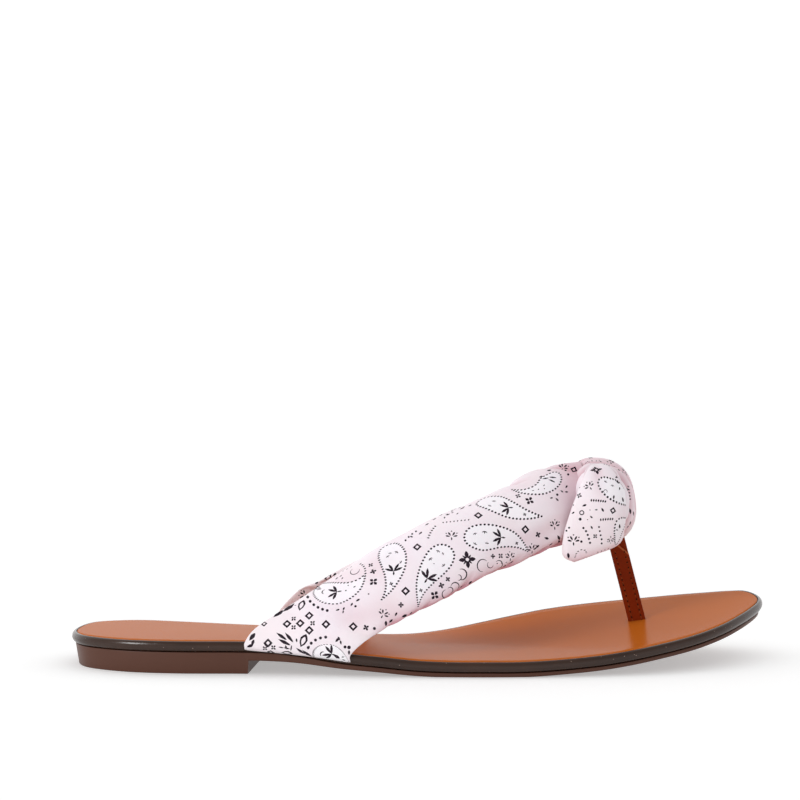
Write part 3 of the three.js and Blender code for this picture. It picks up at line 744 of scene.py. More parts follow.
def placeFigure(cloth, spot, normal, rightWay, angle, figures, printed):
    first = (rightWay - normal * rightWay.dot(normal)).normalized()
    second = normal.cross(first)
    turn = math.radians(angle)
    across = first * math.cos(turn) + second * math.sin(turn)
    upward = second * math.cos(turn) - first * math.sin(turn)
    length, width = cloth["size"]
    cut, end = printMargins["cut"], printMargins["end"]
    for paint, outline in figures:
        flat = []
        for x, y in outline:
            near, _, index, _ = cloth["tree"].find_nearest(spot + across * x + upward * y)
            place = onCloth(cloth, near, index)
            flat.append((place.x, place.y))
        places, sides = zip(*flat)
        inside = min(places) > end and max(places) < length - end
        inside = inside and min(sides) > cut and max(sides) < 2 * width - cut
        if inside and max(sides) - min(sides) < width:      # and none is torn apart by the cut
            printed.append((paint, flat))


def flatAt(cloth, px, py):        # the cloth's own place that shows at a point of the picture
    start, way = viewRay(px, py)
    spot, _, index, _ = cloth["tree"].ray_cast(start, way)
    if spot is None:              # just past the outline: the nearest cloth beside the line of sight
        near = [cloth["tree"].find_nearest(start + way * reach)
                for reach in range(*view["searchDistances"])]
        spot, _, index, _ = min(near, key=lambda hit: hit[3])
    place = onCloth(cloth, spot, index)
    return place.x, place.y


dotted = {
    "pitch": 1.02,                # mm, as are the next two
    "size": 0.66,
    "bold": 0.72,                 # larger dots are round in the picture, smaller ones on the cloth
    "sides": 7,
    "steps": 70,
}


def printDrops(cloth, drops, printed):         # pale drops ringed with dots, charted from tip to tip
    for points in drops:
        outline = smoothPath([*points, points[0]], np.linspace(0, 1, dotted["steps"]))
        edge = [flatAt(cloth, x, y) for x, y in outline]
        printed.append((fill, edge[:-1]))
        printed.extend(dotsAlong(edge, dotted["pitch"], dotted["size"], dotted["sides"]))


def printLines(cloth, lines, printed):         # rows of dots: pitch, size, then their points
    scale = view["focal"] / view["strapDistance"]      # px to a mm
    for pitch, size, *points in lines:
        line = smoothPath(points, np.linspace(0, 1, dotted["steps"]))
        if size > dotted["bold"]:
            for paint, outline in dotsAlong(line, pitch * scale, size * scale, dotted["sides"]):
                printed.append((paint, [flatAt(cloth, x, y) for x, y in outline]))
            continue
        edge = [flatAt(cloth, x, y) for x, y in line]
        printed.extend(dotsAlong(edge, pitch, size, dotted["sides"]))


def printByView(cloth, chart, printed):        # figures where the photo shows them
    for kind, px, py, angle, size, *more in chart:
        start, way = viewRay(px, py)
        spot, normal, index, _ = cloth["tree"].ray_cast(start, way)
        if spot is None:
            spot, normal, index, _ = cloth["tree"].find_nearest(start + way * view["pastDistance"])
        if normal.dot(way) > 0:
            normal = -normal
        placeFigure(cloth, spot, normal, Vector((1, 0, 0)), angle, drawings[kind](size, *more), printed)


def printByRow(cloth, form, chart, printed):   # figures by their place along and around the cloth
    step = 0.004
    for kind, along, around, angle, size in chart:
        places = np.array([[along, around], [along + step, around], [along, around + step]])
        spot, ahead, beside = [Vector(p) for p in form(places[:, 0], places[:, 1])]
        normal = (ahead - spot).cross(beside - spot).normalized() * cloth["sign"]
        placeFigure(cloth, spot, normal, (ahead - spot).normalized(), angle, drawings[kind](size), printed)


def paintFaces(middles, printed):  # which paint covers each face, by its middle
    paint = np.full(len(middles), ground)
    for look, outline in printed:
        start = np.array(outline)
        near = np.nonzero(np.all((middles >= start.min(0)) & (middles <= start.max(0)), axis=1))[0]
        x, y = middles[near].T
        (ax, ay), (bx, by) = start.T[:, :, None], np.roll(start, -1, 0).T[:, :, None]
        crossed = (ay > y) != (by > y)
        reach = ax + (y - ay) * (bx - ax) / np.where(by == ay, 1, by - ay)
        inside = (crossed & (x < reach)).sum(0) % 2 == 1
        paint[near[inside]] = look
    return paint


def clothMesh(name, form, relief, cloth, printed, shadeAt, pitch):
    size = cloth["size"]
    mergeWithin, touching = 0.012, 1e-4        # mm
    columns = int(size[0] / pitch)
    rows = int(2 * size[1] / pitch)
    flat = [Vector((size[0] * i / columns, 2 * size[1] * j / rows)) for i in range(columns + 1)
            for j in range(rows + 1)]
    rim = printMargins["rim"]
    limits = np.array([size[0], 2 * size[1]]) - rim
    printed = [row for row in printed if np.min(row[1]) > rim and np.all(np.max(row[1], axis=0) < limits)]
    strokes = []
    for _, outline in printed:
        first, last = len(flat), len(flat) + len(outline) - 1
        strokes.extend((k, k + 1) for k in range(first, last))
        strokes.append((last, first))
        flat.extend(Vector(point) for point in outline)
    places, _, faces, _, _, _ = delaunay_2d_cdt(flat, strokes, [], 0, mergeWithin)
    places = np.array([tuple(p) for p in places])
    paint = paintFaces(places[np.array(faces)].mean(1), printed)
    along = places[:, 0] / size[0]
    around = places[:, 1] / size[1] - 0.5
    shape, normals = clothForm(form, relief)
    points = shape(along, around)
    directions = normals(along, around)

    partner = {}                               # the cut down the inner face is closed again
    for i in np.nonzero(places[:, 1] < touching)[0]:
        partner[round(places[i, 0], 2)] = i
    same = np.arange(len(places))
    for i in np.nonzero(places[:, 1] > 2 * size[1] - touching)[0]:
        same[i] = partner[round(places[i, 0], 2)]
    kept = np.unique(same)                     # the points left once the cut's two sides are one
    number = np.zeros(len(places), int)
    number[kept] = np.arange(len(kept))
    solid, looks = [], []
    for face, look in zip(faces, paint):
        corners = [int(number[same[c]]) for c in face]
        if len(set(corners)) == 3:
            solid.append(corners if relief["sign"] > 0 else corners[::-1])
            looks.append(look)
    points, directions, places = points[kept], directions[kept], places[kept]
    shade = shadeAt(along[kept], around[kept])

    def closeEnd(at, forward):                 # a fan over each end of the tube
        rim = [i for i in range(len(places)) if abs(places[i, 0] - at) < touching]
        rim.sort(key=lambda i: places[i, 1])
        hub = len(points) + len(added)
        added.append((points[rim].mean(0), directions[rim].mean(0), places[rim[0]], shade[rim[0]]))
        for a, b in zip(rim, rim[1:] + rim[:1]):
            corners = [a, b, hub]
            solid.append(corners if forward == (relief["sign"] > 0) else corners[::-1])
            looks.append(ground)

    added = []
    closeEnd(0, False)
    closeEnd(size[0], True)
    points = np.concatenate([points, [row[0] for row in added]])
    directions = np.concatenate([directions, [row[1] for row in added]])
    places = np.concatenate([places, [row[2] for row in added]])
    shade = np.concatenate([shade, [row[3] for row in added]])
    piece = makePiece(name, points, solid, clothLooks, directions, looks, places, shade)
    print(name, len(solid), "faces")
    return piece


# Straps
strapShape = {
    "pitch": 0.8,                 # mm between the mesh's points
    "size": (160.0, 42.0),        # mm of cloth along the strap, and across one face
    "lateral": {
        "column": "lateral", "side": -1, "edgeX": (101.4, 84, 64.6), "turns": edgeTurns,
        "rows": (
            # front edge, rear edge, bulge of the middle, thickness
            ((104.4, -43.0, 10.8), (67.6, -37.6, 15.6), 0.5, 1.8),
            ((108.5, -41.9, 13.6), (76.0, -34.2, 21.0), 1.8, 2.6),
            ((115.0, -40.0, 17.2), (88.2, -28.0, 28.2), 3.0, 4.2),
            ((123.5, -37.0, 21.2), (104.4, -21.5, 38.2), 3.6, 6.0),
            ((134.5, -32.6, 26.0), (120.5, -16.0, 47.0), 3.8, 7.6),
            ((147.0, -26.5, 32.0), (136.5, -11.6, 53.9), 3.6, 8.4),
            ((160.5, -18.5, 36.8), (153.0, -6.6, 60.8), 3.2, 8.6),
            ((173.0, -10.0, 41.4), (168.5, -1.6, 68.0), 2.4, 8.8),
            ((185.0, -3.0, 44.0), (183.0, 3.0, 71.2), 1.0, 8.6),
        ),
    },
    "medial": {
        "column": "medial", "side": 1, "edgeX": (106.0, 89, 71.5), "turns": edgeTurns,
        "rows": (
            ((107.4, 17.2, 10.6), (74.2, 8.6, 15.8), 0.5, 1.8),
            ((111.5, 18.4, 13.4), (82.0, 7.4, 24.2), 1.6, 2.6),
            ((118.5, 20.6, 16.6), (89.6, 7.2, 27.6), 2.6, 4.2),
            ((127.5, 23.2, 20.6), (105.5, 8.0, 35.6), 3.2, 6.0),
            ((138.0, 25.0, 25.4), (121.0, 9.4, 43.6), 3.4, 7.4),
            ((149.5, 25.2, 30.6), (137.0, 11.0, 50.4), 3.2, 8.2),
            ((161.5, 23.2, 35.4), (153.0, 12.0, 57.0), 2.8, 8.4),
            ((173.0, 19.6, 39.8), (168.5, 12.0, 63.4), 2.2, 8.4),
            ((185.0, 13.0, 43.4), (184.0, 9.0, 68.0), 1.0, 8.0),
        ),
    },
    # from along, around to along, around, then width and depth in mm
    "creases": (
        (0.415, 0.88, 0.56, 0.95, 0.9, 0.22), (0.86, 1.0, 0.96, 1.0, 4.0, -1.3),
        (0.845, 1.10, 0.88, 0.84, 1.2, 0.7),
        (0.50, -0.10, 0.56, 0.10, 1.3, 0.5), (0.55, -0.12, 0.62, 0.08, 1.5, 0.7),
        (0.60, -0.14, 0.66, 0.14, 1.2, 0.6), (0.64, -0.10, 0.72, 0.10, 1.5, 0.8),
        (0.69, -0.14, 0.75, 0.20, 1.2, 0.8), (0.73, -0.12, 0.82, 0.12, 1.6, 0.9),
        (0.78, -0.14, 0.84, 0.18, 1.2, 0.8), (0.82, -0.10, 0.92, 0.16, 1.5, 1.0),
        (0.88, -0.12, 0.96, 0.24, 1.4, 0.9),
        (0.62, 1.10, 0.70, 0.88, 1.5, 0.5), (0.74, 1.12, 0.80, 0.86, 1.4, 0.6),
        (0.84, 1.12, 0.89, 0.84, 1.5, 0.8), (0.90, 1.10, 0.99, 0.74, 1.7, 1.0),
        (0.80, 0.30, 0.97, 0.36, 3.0, 0.5), (0.70, 0.62, 0.90, 0.60, 4.0, -0.4),
        (0.42, 0.40, 0.60, 0.28, 5.0, 0.35), (0.52, 0.66, 0.74, 0.56, 4.5, 0.3),
    ),
    # rows of figures on the inner face: their places around, then start, end and step along
    "innerRows": ((-0.34, -0.2, 1.2, 1.34), 0.40, 0.97, 0.052),
    "free": (0.38, 0.08),         # where the cloth comes free of the board, and within what share
    "waves": (0.16, 0.10),        # mm, depth of the long and the short waves in the padding
    "pleats": (0.45, 1.9, 7.0),   # mm, depth, length and drift of the pleats on the inner face
    "innerFrom": 0.1,
    # shade: of a fold this deep, along the low edge, and beside the knot: strength, place, width
    "foldShade": (0.5, 1.2),
    "lowShade": (1.2, -0.04, 0.17),
    "lowFrom": (0.45, 0.1),
    "knotShade": (0.5, 0.99, 0.05),
}

# Drops on the outer face, where the photo shows them, each from its tip round to the tip again
strapDrops = (
    ((365.2, 573.0), (360.7, 577.4), (354.7, 580.4), (347.1, 582.2), (338.5, 582.2), (330.9, 582.2),
     (323.3, 583.4), (316.8, 587.4), (313.5, 593.4), (316.8, 598.8), (323.3, 602.4), (330.9, 603.7),
     (339.5, 603.1), (347.1, 599.9), (354.7, 595.0), (360.7, 588.5), (363.9, 581.0)),
    ((348.6, 661.4), (346.1, 656.8), (342.3, 651.6), (337.4, 647.2), (330.9, 644.6), (324.4, 644.6),
     (317.9, 646.6), (314.1, 650.4), (313.2, 655.0), (315.3, 659.2), (321.8, 661.6), (331.6, 662.6),
     (341.6, 663.4)),
    ((381.7, 599.4), (386.9, 595.0), (392.6, 589.2), (399.3, 579.7), (404.1, 570.1), (406.0, 560.6),
     (405.4, 552.6), (401.8, 546.4), (396.2, 543.2), (388.7, 544.6), (380.6, 549.6), (378.4, 556.4),
     (381.1, 564.8), (384.6, 574.4), (385.9, 585.4), (384.6, 593.2)),
    ((418.1, 606.3), (421.3, 597.6), (426.1, 590.6), (433.7, 582.7), (441.4, 576.0), (448.1, 569.4),
     (452.9, 561.8), (454.2, 554.4), (450.8, 548.0), (444.3, 544.8), (436.6, 545.4), (429.4, 550.4),
     (422.6, 561.4), (418.1, 573.9), (416.4, 585.4), (416.9, 596.9)),
    ((527.7, 551.5), (519.8, 548.0), (510.3, 546.6), (500.7, 547.1), (491.1, 549.2), (481.6, 550.2),
     (472.0, 547.1), (465.9, 542.6), (464.3, 536.8), (466.3, 531.4), (471.6, 527.2), (480.2, 525.1),
     (491.1, 524.9), (502.6, 527.0), (513.1, 531.4), (520.8, 537.8), (525.8, 545.4)),
    ((541.5, 516.4), (531.3, 518.6), (519.8, 519.0), (508.4, 517.5), (496.9, 513.7), (485.4, 509.1),
     (476.4, 504.6), (482.5, 499.3), (491.1, 496.8), (501.7, 497.0), (509.8, 500.6), (517.8, 505.2),
     (525.4, 509.6), (533.6, 513.4)),
    ((512.0, 489.2), (519.8, 492.4), (531.3, 494.4), (542.8, 494.1), (552.4, 490.7), (559.1, 485.0),
     (561.5, 478.6), (559.6, 473.8), (554.3, 472.2), (546.6, 475.0), (540.3, 478.6), (537.2, 483.4),
     (531.3, 487.2), (521.6, 489.6)),
)
# Rows of dots beside them: pitch and size in mm, then the points
strapLines = (
    (1.0, 0.6, (365.2, 573.0), (364.6, 567.8), (362.0, 564.6), (358.6, 563.2)),
    (1.0, 0.5, (351.0, 566.6), (343.6, 570.4), (336.6, 574.6), (330.4, 579.2)),
    (1.55, 1.1, (307.9, 597.4), (310.6, 602.0), (316.2, 606.4), (323.6, 609.6), (332.0, 611.2)),
    (1.7, 1.15, (308.2, 647.6), (311.6, 642.8), (317.2, 639.2), (324.0, 637.2), (331.0, 637.6)),
    (1.5, 0.9, (565.8, 469.6), (568.2, 474.4), (568.6, 479.8)),
    (1.1, 0.55, (584.6, 466.8), (585.5, 472.8), (583.2, 478.0), (579.4, 480.6)),
    (1.35, 0.75, (405.6, 540.4), (409.8, 536.2), (414.6, 532.6), (420.0, 529.4)),
    (1.35, 0.7, (446.2, 512.2), (453.0, 509.8), (460.6, 507.6), (468.4, 506.4)),
    (1.1, 0.5, (497.4, 563.6), (504.0, 562.8), (510.6, 561.4)),
)
# Figures between them: kind, picture x, y, turn, size in mm, more
strapChart = (
    ("sprig", 335.4, 591.6, 180, 6.4), ("arc", 325.0, 591.4, 170, 2.2, 150, 0.4),
    ("arc", 354.6, 570.4, 250, 3.4, 250, 0.36),
    ("sprig", 330.6, 653.6, 160, 6.0), ("arc", 323.2, 654.6, 150, 2.0, 150, 0.4),
    ("leaf", 336.6, 656.6, -32, 2.6),
    ("leaf", 336.4, 577.8, 30, 1.3), ("leaf", 340.4, 575.4, 40, 1.2), ("leaf", 342.0, 577.6, 60, 1.1),
    ("dot", 345.8, 590.2, 0, 0.6), ("leaf", 354.4, 586.6, 30, 1.1), ("dot", 348.0, 585.0, 0, 0.5),
    ("foot", 343.4, 660.4, 60, 0.9), ("foot", 343.0, 657.6, 100, 0.8),
    ("sprig", 393.6, 569.6, 90, 6.2), ("cross", 391.2, 583.6, 20, 1.5), ("foot", 397.0, 550.8, 230, 1.3),
    ("foot", 401.4, 562.0, 150, 1.1), ("foot", 387.0, 555.2, -60, 1.1), ("foot", 390.0, 552.0, 260, 1.0),
    ("sprig", 428.0, 577.6, 58, 6.6), ("cross", 420.8, 590.4, 20, 1.4), ("foot", 429.8, 558.2, -50, 1.3),
    ("foot", 444.2, 566.0, 130, 1.2), ("foot", 438.6, 550.4, 240, 1.2), ("dot", 434.0, 563.6, 0, 0.4),
    ("foot", 443.6, 553.4, 200, 0.9),
    ("sprig", 500.0, 537.0, 180, 6.2), ("cross", 517.4, 543.2, 30, 1.4), ("foot", 484.6, 531.0, -90, 1.4),
    ("foot", 474.4, 533.2, -60, 1.1), ("foot", 487.0, 544.0, 90, 1.1), ("foot", 474.6, 544.6, 60, 1.1),
    ("sprig", 507.4, 508.2, 190, 5.8), ("cross", 524.6, 514.6, 30, 1.4), ("foot", 489.2, 507.0, 60, 1.1),
    ("foot", 494.0, 501.0, -90, 1.1),
    ("blade", 552.6, 477.4, 2, 2.8), ("blade", 551.8, 480.8, -20, 2.8), ("blade", 545.4, 478.4, 14, 2.6),
    ("dot", 538.4, 489.4, 0, 0.5), ("dot", 544.4, 488.8, 0, 0.45), ("leaf", 544.0, 485.4, 60, 0.9),
    ("leaf", 533.0, 490.6, 20, 0.9),
    ("star", 467.2, 559.6, 8, 6.3),
    ("diamond", 287.0, 623.8, 0, 3.0), ("diamond", 300.2, 623.2, 0, 3.0), ("diamond", 309.2, 615.6, 0, 3.0),
    ("diamond", 309.2, 630.3, 0, 3.0), ("diamond", 326.0, 624.3, 0, 3.0), ("diamond", 353.2, 626.4, 0, 3.0),
    ("diamond", 264.2, 623.8, 0, 2.2), ("diamond", 268.0, 643.0, 0, 3.0), ("diamond", 270.7, 652.2, 0, 2.7),
    ("diamond", 417.2, 547.1, 0, 3.0), ("diamond", 405.6, 591.1, 0, 3.0), ("diamond", 478.3, 516.1, 0, 3.0),
    ("diamond", 525.6, 529.3, 0, 3.0), ("diamond", 574.2, 468.9, -20, 2.6),
    ("diamond", 579.1, 465.0, -20, 2.4),
    ("cluster", 293.6, 618.6, 0, 2.0), ("cluster", 293.6, 627.4, 0, 2.0), ("cluster", 312.6, 623.2, 90, 2.1),
    ("cluster", 265.0, 648.4, 0, 2.0), ("cluster", 273.4, 647.6, 0, 2.0),
    ("openLeaf", 301.6, 605.3, 72, 5.0), ("openLeaf", 303.4, 640.6, 66, 5.0),
    ("openLeaf", 317.3, 584.2, 64, 4.4),
    ("leaf", 325.4, 580.0, 50, 2.0), ("openLeaf", 287.0, 653.0, 4, 4.2), ("leaf", 311.6, 583.2, 0, 1.0),
    ("blade", 281.5, 636.3, -36, 4.6), ("blade", 289.1, 637.4, -50, 4.6), ("blade", 284.3, 642.2, -26, 4.9),
    ("blade", 300.5, 651.2, -35, 3.9), ("blade", 307.2, 654.0, -39, 4.9), ("blade", 303.2, 656.6, -22, 3.1),
    ("blade", 291.2, 648.2, 80, 2.2), ("blade", 287.0, 648.4, 170, 2.4), ("blade", 281.0, 647.4, -10, 2.0),
    ("leaf", 296.6, 640.4, 96, 1.4), ("leaf", 286.0, 647.4, 100, 1.6), ("leaf", 308.6, 647.6, 70, 1.6),
    ("leaf", 288.6, 607.6, 36, 5.4), ("leaf", 278.6, 613.6, 34, 4.6), ("leaf", 301.4, 596.8, 30, 2.6),
    ("leaf", 252.2, 636.8, 52, 3.4), ("leaf", 252.8, 642.6, 70, 2.4), ("leaf", 250.0, 646.0, 24, 2.6),
    ("leaf", 314.6, 659.0, -40, 3.2), ("leaf", 295.4, 605.6, 0, 0.8),
    ("cluster", 373.4, 581.6, 0, 3.3), ("cross", 372.9, 570.9, 20, 2.5), ("cluster", 370.4, 564.4, 0, 2.0),
    ("spray", 383.0, 614.9, -30, 4.2), ("leaf", 357.8, 600.0, 30, 1.7), ("dot", 368.6, 594.0, 0, 0.6),
    ("leaf", 351.6, 604.2, 60, 1.5), ("dot", 355.4, 606.0, 0, 0.9), ("leaf", 343.6, 608.4, 70, 1.4),
    ("leaf", 343.0, 611.6, 80, 1.2), ("leaf", 337.6, 609.6, 20, 1.5), ("cross", 366.0, 627.6, 30, 2.3),
    ("dot", 374.4, 628.5, 0, 1.1), ("leaf", 396.2, 614.2, 60, 1.6), ("leaf", 386.0, 623.6, 90, 2.1),
    ("leaf", 391.0, 621.0, 40, 1.8), ("cross", 401.0, 604.8, 0, 2.1), ("leaf", 404.4, 616.0, 20, 2.2),
    ("leaf", 411.0, 614.0, 60, 1.7), ("leaf", 337.2, 640.0, 50, 2.0), ("leaf", 339.0, 638.6, 120, 1.6),
    ("leaf", 340.8, 642.6, 100, 1.5), ("dot", 345.0, 647.0, 0, 1.1), ("dot", 349.0, 647.4, 0, 1.3),
    ("leaf", 349.0, 652.6, 90, 1.7), ("dot", 393.0, 586.0, 0, 0.5),
    ("dashes", 431.6, 532.5, 66, 5.8, 6, 1.1, 0.8), ("dashes", 455.6, 521.2, 0, 8.8, 8, 0.9, -0.6),
    ("spray", 451.6, 536.9, 0, 4.6), ("leaf", 420.6, 533.6, 50, 1.8), ("leaf", 427.0, 524.6, 36, 1.8),
    ("leaf", 411.6, 537.0, 130, 1.6), ("leaf", 434.4, 519.4, 24, 1.7), ("leaf", 441.0, 515.4, 30, 1.6),
    ("leaf", 448.0, 514.6, 20, 1.6), ("leaf", 462.0, 508.4, 24, 1.7), ("leaf", 470.0, 505.6, 30, 1.5),
    ("leaf", 444.6, 517.6, 80, 1.3), ("leaf", 457.4, 513.6, 60, 1.2),
    ("cluster", 434.7, 595.3, 10, 3.3), ("cross", 441.4, 585.4, 20, 2.3), ("cross", 447.9, 579.2, 40, 2.0),
    ("arc", 461.6, 574.4, 0, 3.8, 220, 0.5), ("arc", 458.6, 577.6, 0, 2.0, 200, 0.36),
    ("arc", 483.0, 565.6, 160, 4.4, 230, 0.42), ("arc", 490.6, 564.6, 240, 2.4, 220, 0.32),
    ("arc", 498.6, 565.0, 20, 3.2, 220, 0.36), ("arc", 455.0, 587.0, 60, 3.2, 220, 0.4),
    ("arc", 446.0, 594.0, 220, 3.0, 250, 0.4), ("arc", 450.0, 590.4, 30, 2.2, 220, 0.34),
    ("spray", 510.3, 557.7, 0, 4.0), ("cross", 493.2, 556.2, 0, 1.9), ("cluster", 501.0, 555.9, 0, 2.1),
    ("leaf", 512.0, 563.0, 30, 1.9), ("leaf", 470.6, 583.0, 30, 1.8), ("leaf", 462.0, 588.0, 20, 1.8),
    ("leaf", 505.0, 566.4, 20, 1.6),
    ("cluster", 529.4, 500.9, 20, 3.3), ("cluster", 518.0, 496.0, 20, 2.1),
    ("spray", 555.4, 526.2, 0, 4.4), ("cross", 538.8, 534.7, 30, 2.4), ("leaf", 547.0, 538.4, -20, 2.0),
    ("spray", 540.4, 553.6, 0, 4.4), ("leaf", 558.6, 537.6, -60, 2.2), ("leaf", 559.6, 542.0, -60, 2.1),
    ("leaf", 551.4, 545.0, 20, 1.8), ("leaf", 532.0, 556.6, 30, 1.8), ("leaf", 548.6, 551.0, 20, 1.9),
    ("spray", 563.0, 466.6, -20, 4.0), ("leaf", 566.6, 486.6, 60, 1.5), ("leaf", 562.0, 491.2, -30, 1.3),
    ("leaf", 566.6, 491.8, 10, 1.4), ("leaf", 551.4, 498.0, 20, 1.3), ("leaf", 557.2, 499.4, -40, 1.6),
    ("dot", 557.4, 494.6, 0, 1.0), ("leaf", 549.0, 470.6, 20, 1.8), ("leaf", 541.0, 476.6, 20, 1.5),
)

# Small figures where the photo doesn't show the cloth: kind, turn in quarters, size in mm
hiddenRow = (("diamond", 0.0, 2.9), ("spray", 0.3, 4.2), ("cluster", 0.0, 2.8), ("cross", 0.4, 2.0))


def innerChart(rows, start, end, step):        # small figures in staggered rows
    chart = []
    for k, around in enumerate(rows):
        count = int((end - start) / step)
        for i in range(count):
            kind, turn, size = hiddenRow[(i + 2 * k) % len(hiddenRow)]
            chart.append((kind, start + step * (i + 0.5 * (k % 2)), around, 90 * turn + 25 * i, size))
    return chart


def bump(x, height, middle, width):
    return height * np.exp(-((x - middle) / width) ** 2)


def strapRelief(side):
    def height(along, around):
        start, within = strapShape["free"]
        folds = creaseDepth(strapShape["creases"], strapShape["size"], along, around)
        a, q = along * strapShape["size"][0], around * strapShape["size"][1]
        long, short = strapShape["waves"]
        soft = long * np.sin(a / 5.1 + 0.09 * q + side) * np.sin(q / 6.3 + 0.6 + a / 17.0)
        soft += short * np.sin(a / 2.7 - q / 4.1 + 2 * side)
        edge = strapShape["innerFrom"]
        inner = np.clip(-around / edge, 0, 1) + np.clip((around - 1) / edge, 0, 1)
        depth, length, drift = strapShape["pleats"]
        pleats = -depth * inner * (0.5 + 0.5 * np.sin(a / length + 1.3 * np.sin(a / drift)))
        return np.clip((along - start) / within, 0, 1) * (folds + soft + pleats)

    return {"height": height, "sign": -side}


def strapShade(side):
    relief = strapRelief(side)["height"]

    def shadeAt(along, around):
        share, depth = strapShape["foldShade"]
        edge, (start, within) = strapShape["innerFrom"], strapShape["lowFrom"]
        deep = np.clip(-relief(along, around) / depth, 0, 1) * ((around > -edge) & (around < 1 + edge))
        low = bump(around, *strapShape["lowShade"]) * np.clip((along - start) / within, 0, 1)
        return np.clip(deep * share + low + bump(along, *strapShape["knotShade"]), 0, 1)

    return shadeAt


def buildStraps():
    lateralPrint = []
    size = strapShape["size"]
    for label, side in (("lateral", -1), ("medial", 1)):
        form = ribbonForm(strapShape[label])
        cloth = clothMap(form, size, -side)
        if label == "lateral":
            printDrops(cloth, strapDrops, lateralPrint)
            printLines(cloth, strapLines, lateralPrint)
            printByView(cloth, strapChart, lateralPrint)
            print("figures on the strap", len(lateralPrint))
        printed = list(lateralPrint)
        printByRow(cloth, form, innerChart(*strapShape["innerRows"]), printed)
        strap = clothMesh(label + "Strap", form, strapRelief(side), cloth, printed, strapShade(side),
                          strapShape["pitch"])
        finishPiece(strap, "strap_cloth", "upper")


buildStraps()
print("straps made")


# Knot: cloth wrapped round the ends of the straps, and its tail on the outer side
knotShape = {
    "pitch": 0.8,
    "size": (56.0, 50.0),         # mm from the outer to the inner end, and half way round
    "ends": (-9.6, 24.0),         # y of the outer and the inner end
    "centre": (188.4, 56.8),      # x and z of the wrap's middle
    "reach": (16.1, 16.0),        # half length and half height
    "rearReach": 10.4,            # half length behind the middle
    "slope": 0.06,                # how much the wrap leans back
    "power": 0.86,                # below 1 the wrap is squarer than an ellipse
    "endPower": 0.72,             # and its ends are blunter than a ball
    "endOpening": 0.003,
    # laps of cloth round the wrap: place, sway, phase, width of the sharp and the soft side, depth
    "folds": (
        (0.24, 0.020, 0.4, 0.008, 0.055, 1.7), (0.33, 0.040, 0.6, 0.008, 0.060, 1.6),
        (0.44, 0.050, 2.0, 0.009, 0.060, 1.3), (0.57, 0.040, 2.9, 0.009, 0.060, 1.1),
        (0.70, 0.055, 4.0, 0.009, 0.060, 1.2), (0.82, 0.040, 5.2, 0.008, 0.050, 0.8),
    ),
    "gathers": (7, 1.5, 0.92, 0.055),      # at the inner end: how many, depth, place, width
    "ripple": 0.25,               # mm
    "foldShade": (0.8, 1.4),      # strength of the shade in a fold this deep
    "backRows": (0.5, 0.64, 0.78),         # small figures that the photo doesn't show, by place along
    "backFigures": 14,            # to a row
}
tailShape = {
    "pitch": 0.7,
    "size": (38.0, 23.0),         # mm of cloth along the tail, and across one face
    "innerRows": ((1.25, 1.4), 0.08, 0.8, 0.16),     # as on the straps
    "foldShade": 0.5,             # strength of the shade in a fold 1 mm deep
    "lowShade": (0.5, 0.22),      # strength and reach of the shade at the lower end
    "ribbon": {
        "side": -1, "startRound": 0.05, "roundness": 0.6,
        "rows": (
            ((194.8, -9.2, 41.7), (180.2, -13.6, 36.6), 0.8, 1.8),
            ((197.4, -9.3, 43.8), (176.4, -13.8, 38.8), 1.2, 2.2),
            ((198.4, -9.4, 47.6), (176.5, -13.1, 45.4), 1.8, 2.6),
            ((199.0, -9.1, 54.0), (179.4, -12.1, 55.2), 2.4, 2.8),
            ((198.4, -8.1, 61.8), (182.2, -10.7, 62.6), 2.2, 2.6),
            ((196.0, -5.8, 67.8), (184.4, -7.7, 68.4), 1.2, 2.0),
            ((193.4, -1.6, 69.6), (186.6, -2.4, 70.0), 0.4, 1.4),
        ),
    },
    "creases": (
        (0.98, 0.30, 0.70, 0.10, 1.4, 0.6), (0.95, 0.62, 0.62, 0.52, 2.2, 0.5),
        (0.97, 0.80, 0.74, 0.94, 1.3, 0.5), (0.10, 0.80, 0.60, 0.86, 2.6, -0.4),
        (0.16, 0.20, 0.58, 0.10, 2.4, 0.35),
    ),
}

# Figures on the tail and on the knot's outer end, charted as on the straps
tailDrops = (
    ((626.5, 505.2), (621.6, 504.2), (615.7, 501.8), (609.8, 498.6), (603.6, 493.2), (599.6, 487.4),
     (598.2, 481.8), (600.2, 477.8), (604.6, 476.8), (610.2, 478.4), (616.9, 480.6), (622.6, 485.6),
     (626.2, 495.4)),
    ((627.0, 517.9), (620.6, 518.2), (616.4, 521.6), (614.7, 528.6), (614.8, 536.9), (615.9, 544.8),
     (619.4, 540.6), (622.0, 534.2), (624.5, 527.6)),
)
tailLines = (
    (0.95, 0.5, (574.8, 557.4), (577.0, 552.4), (581.0, 549.8), (585.0, 550.4), (586.9, 553.8)),
    (1.3, 0.85, (583.4, 528.0), (586.6, 532.2), (589.2, 539.6), (591.0, 546.8)),
    (1.25, 0.75, (599.0, 527.0), (600.4, 534.0), (601.8, 540.6), (601.2, 547.6)),
    (1.3, 0.75, (566.8, 530.8), (569.6, 527.6), (572.6, 525.6)),
)
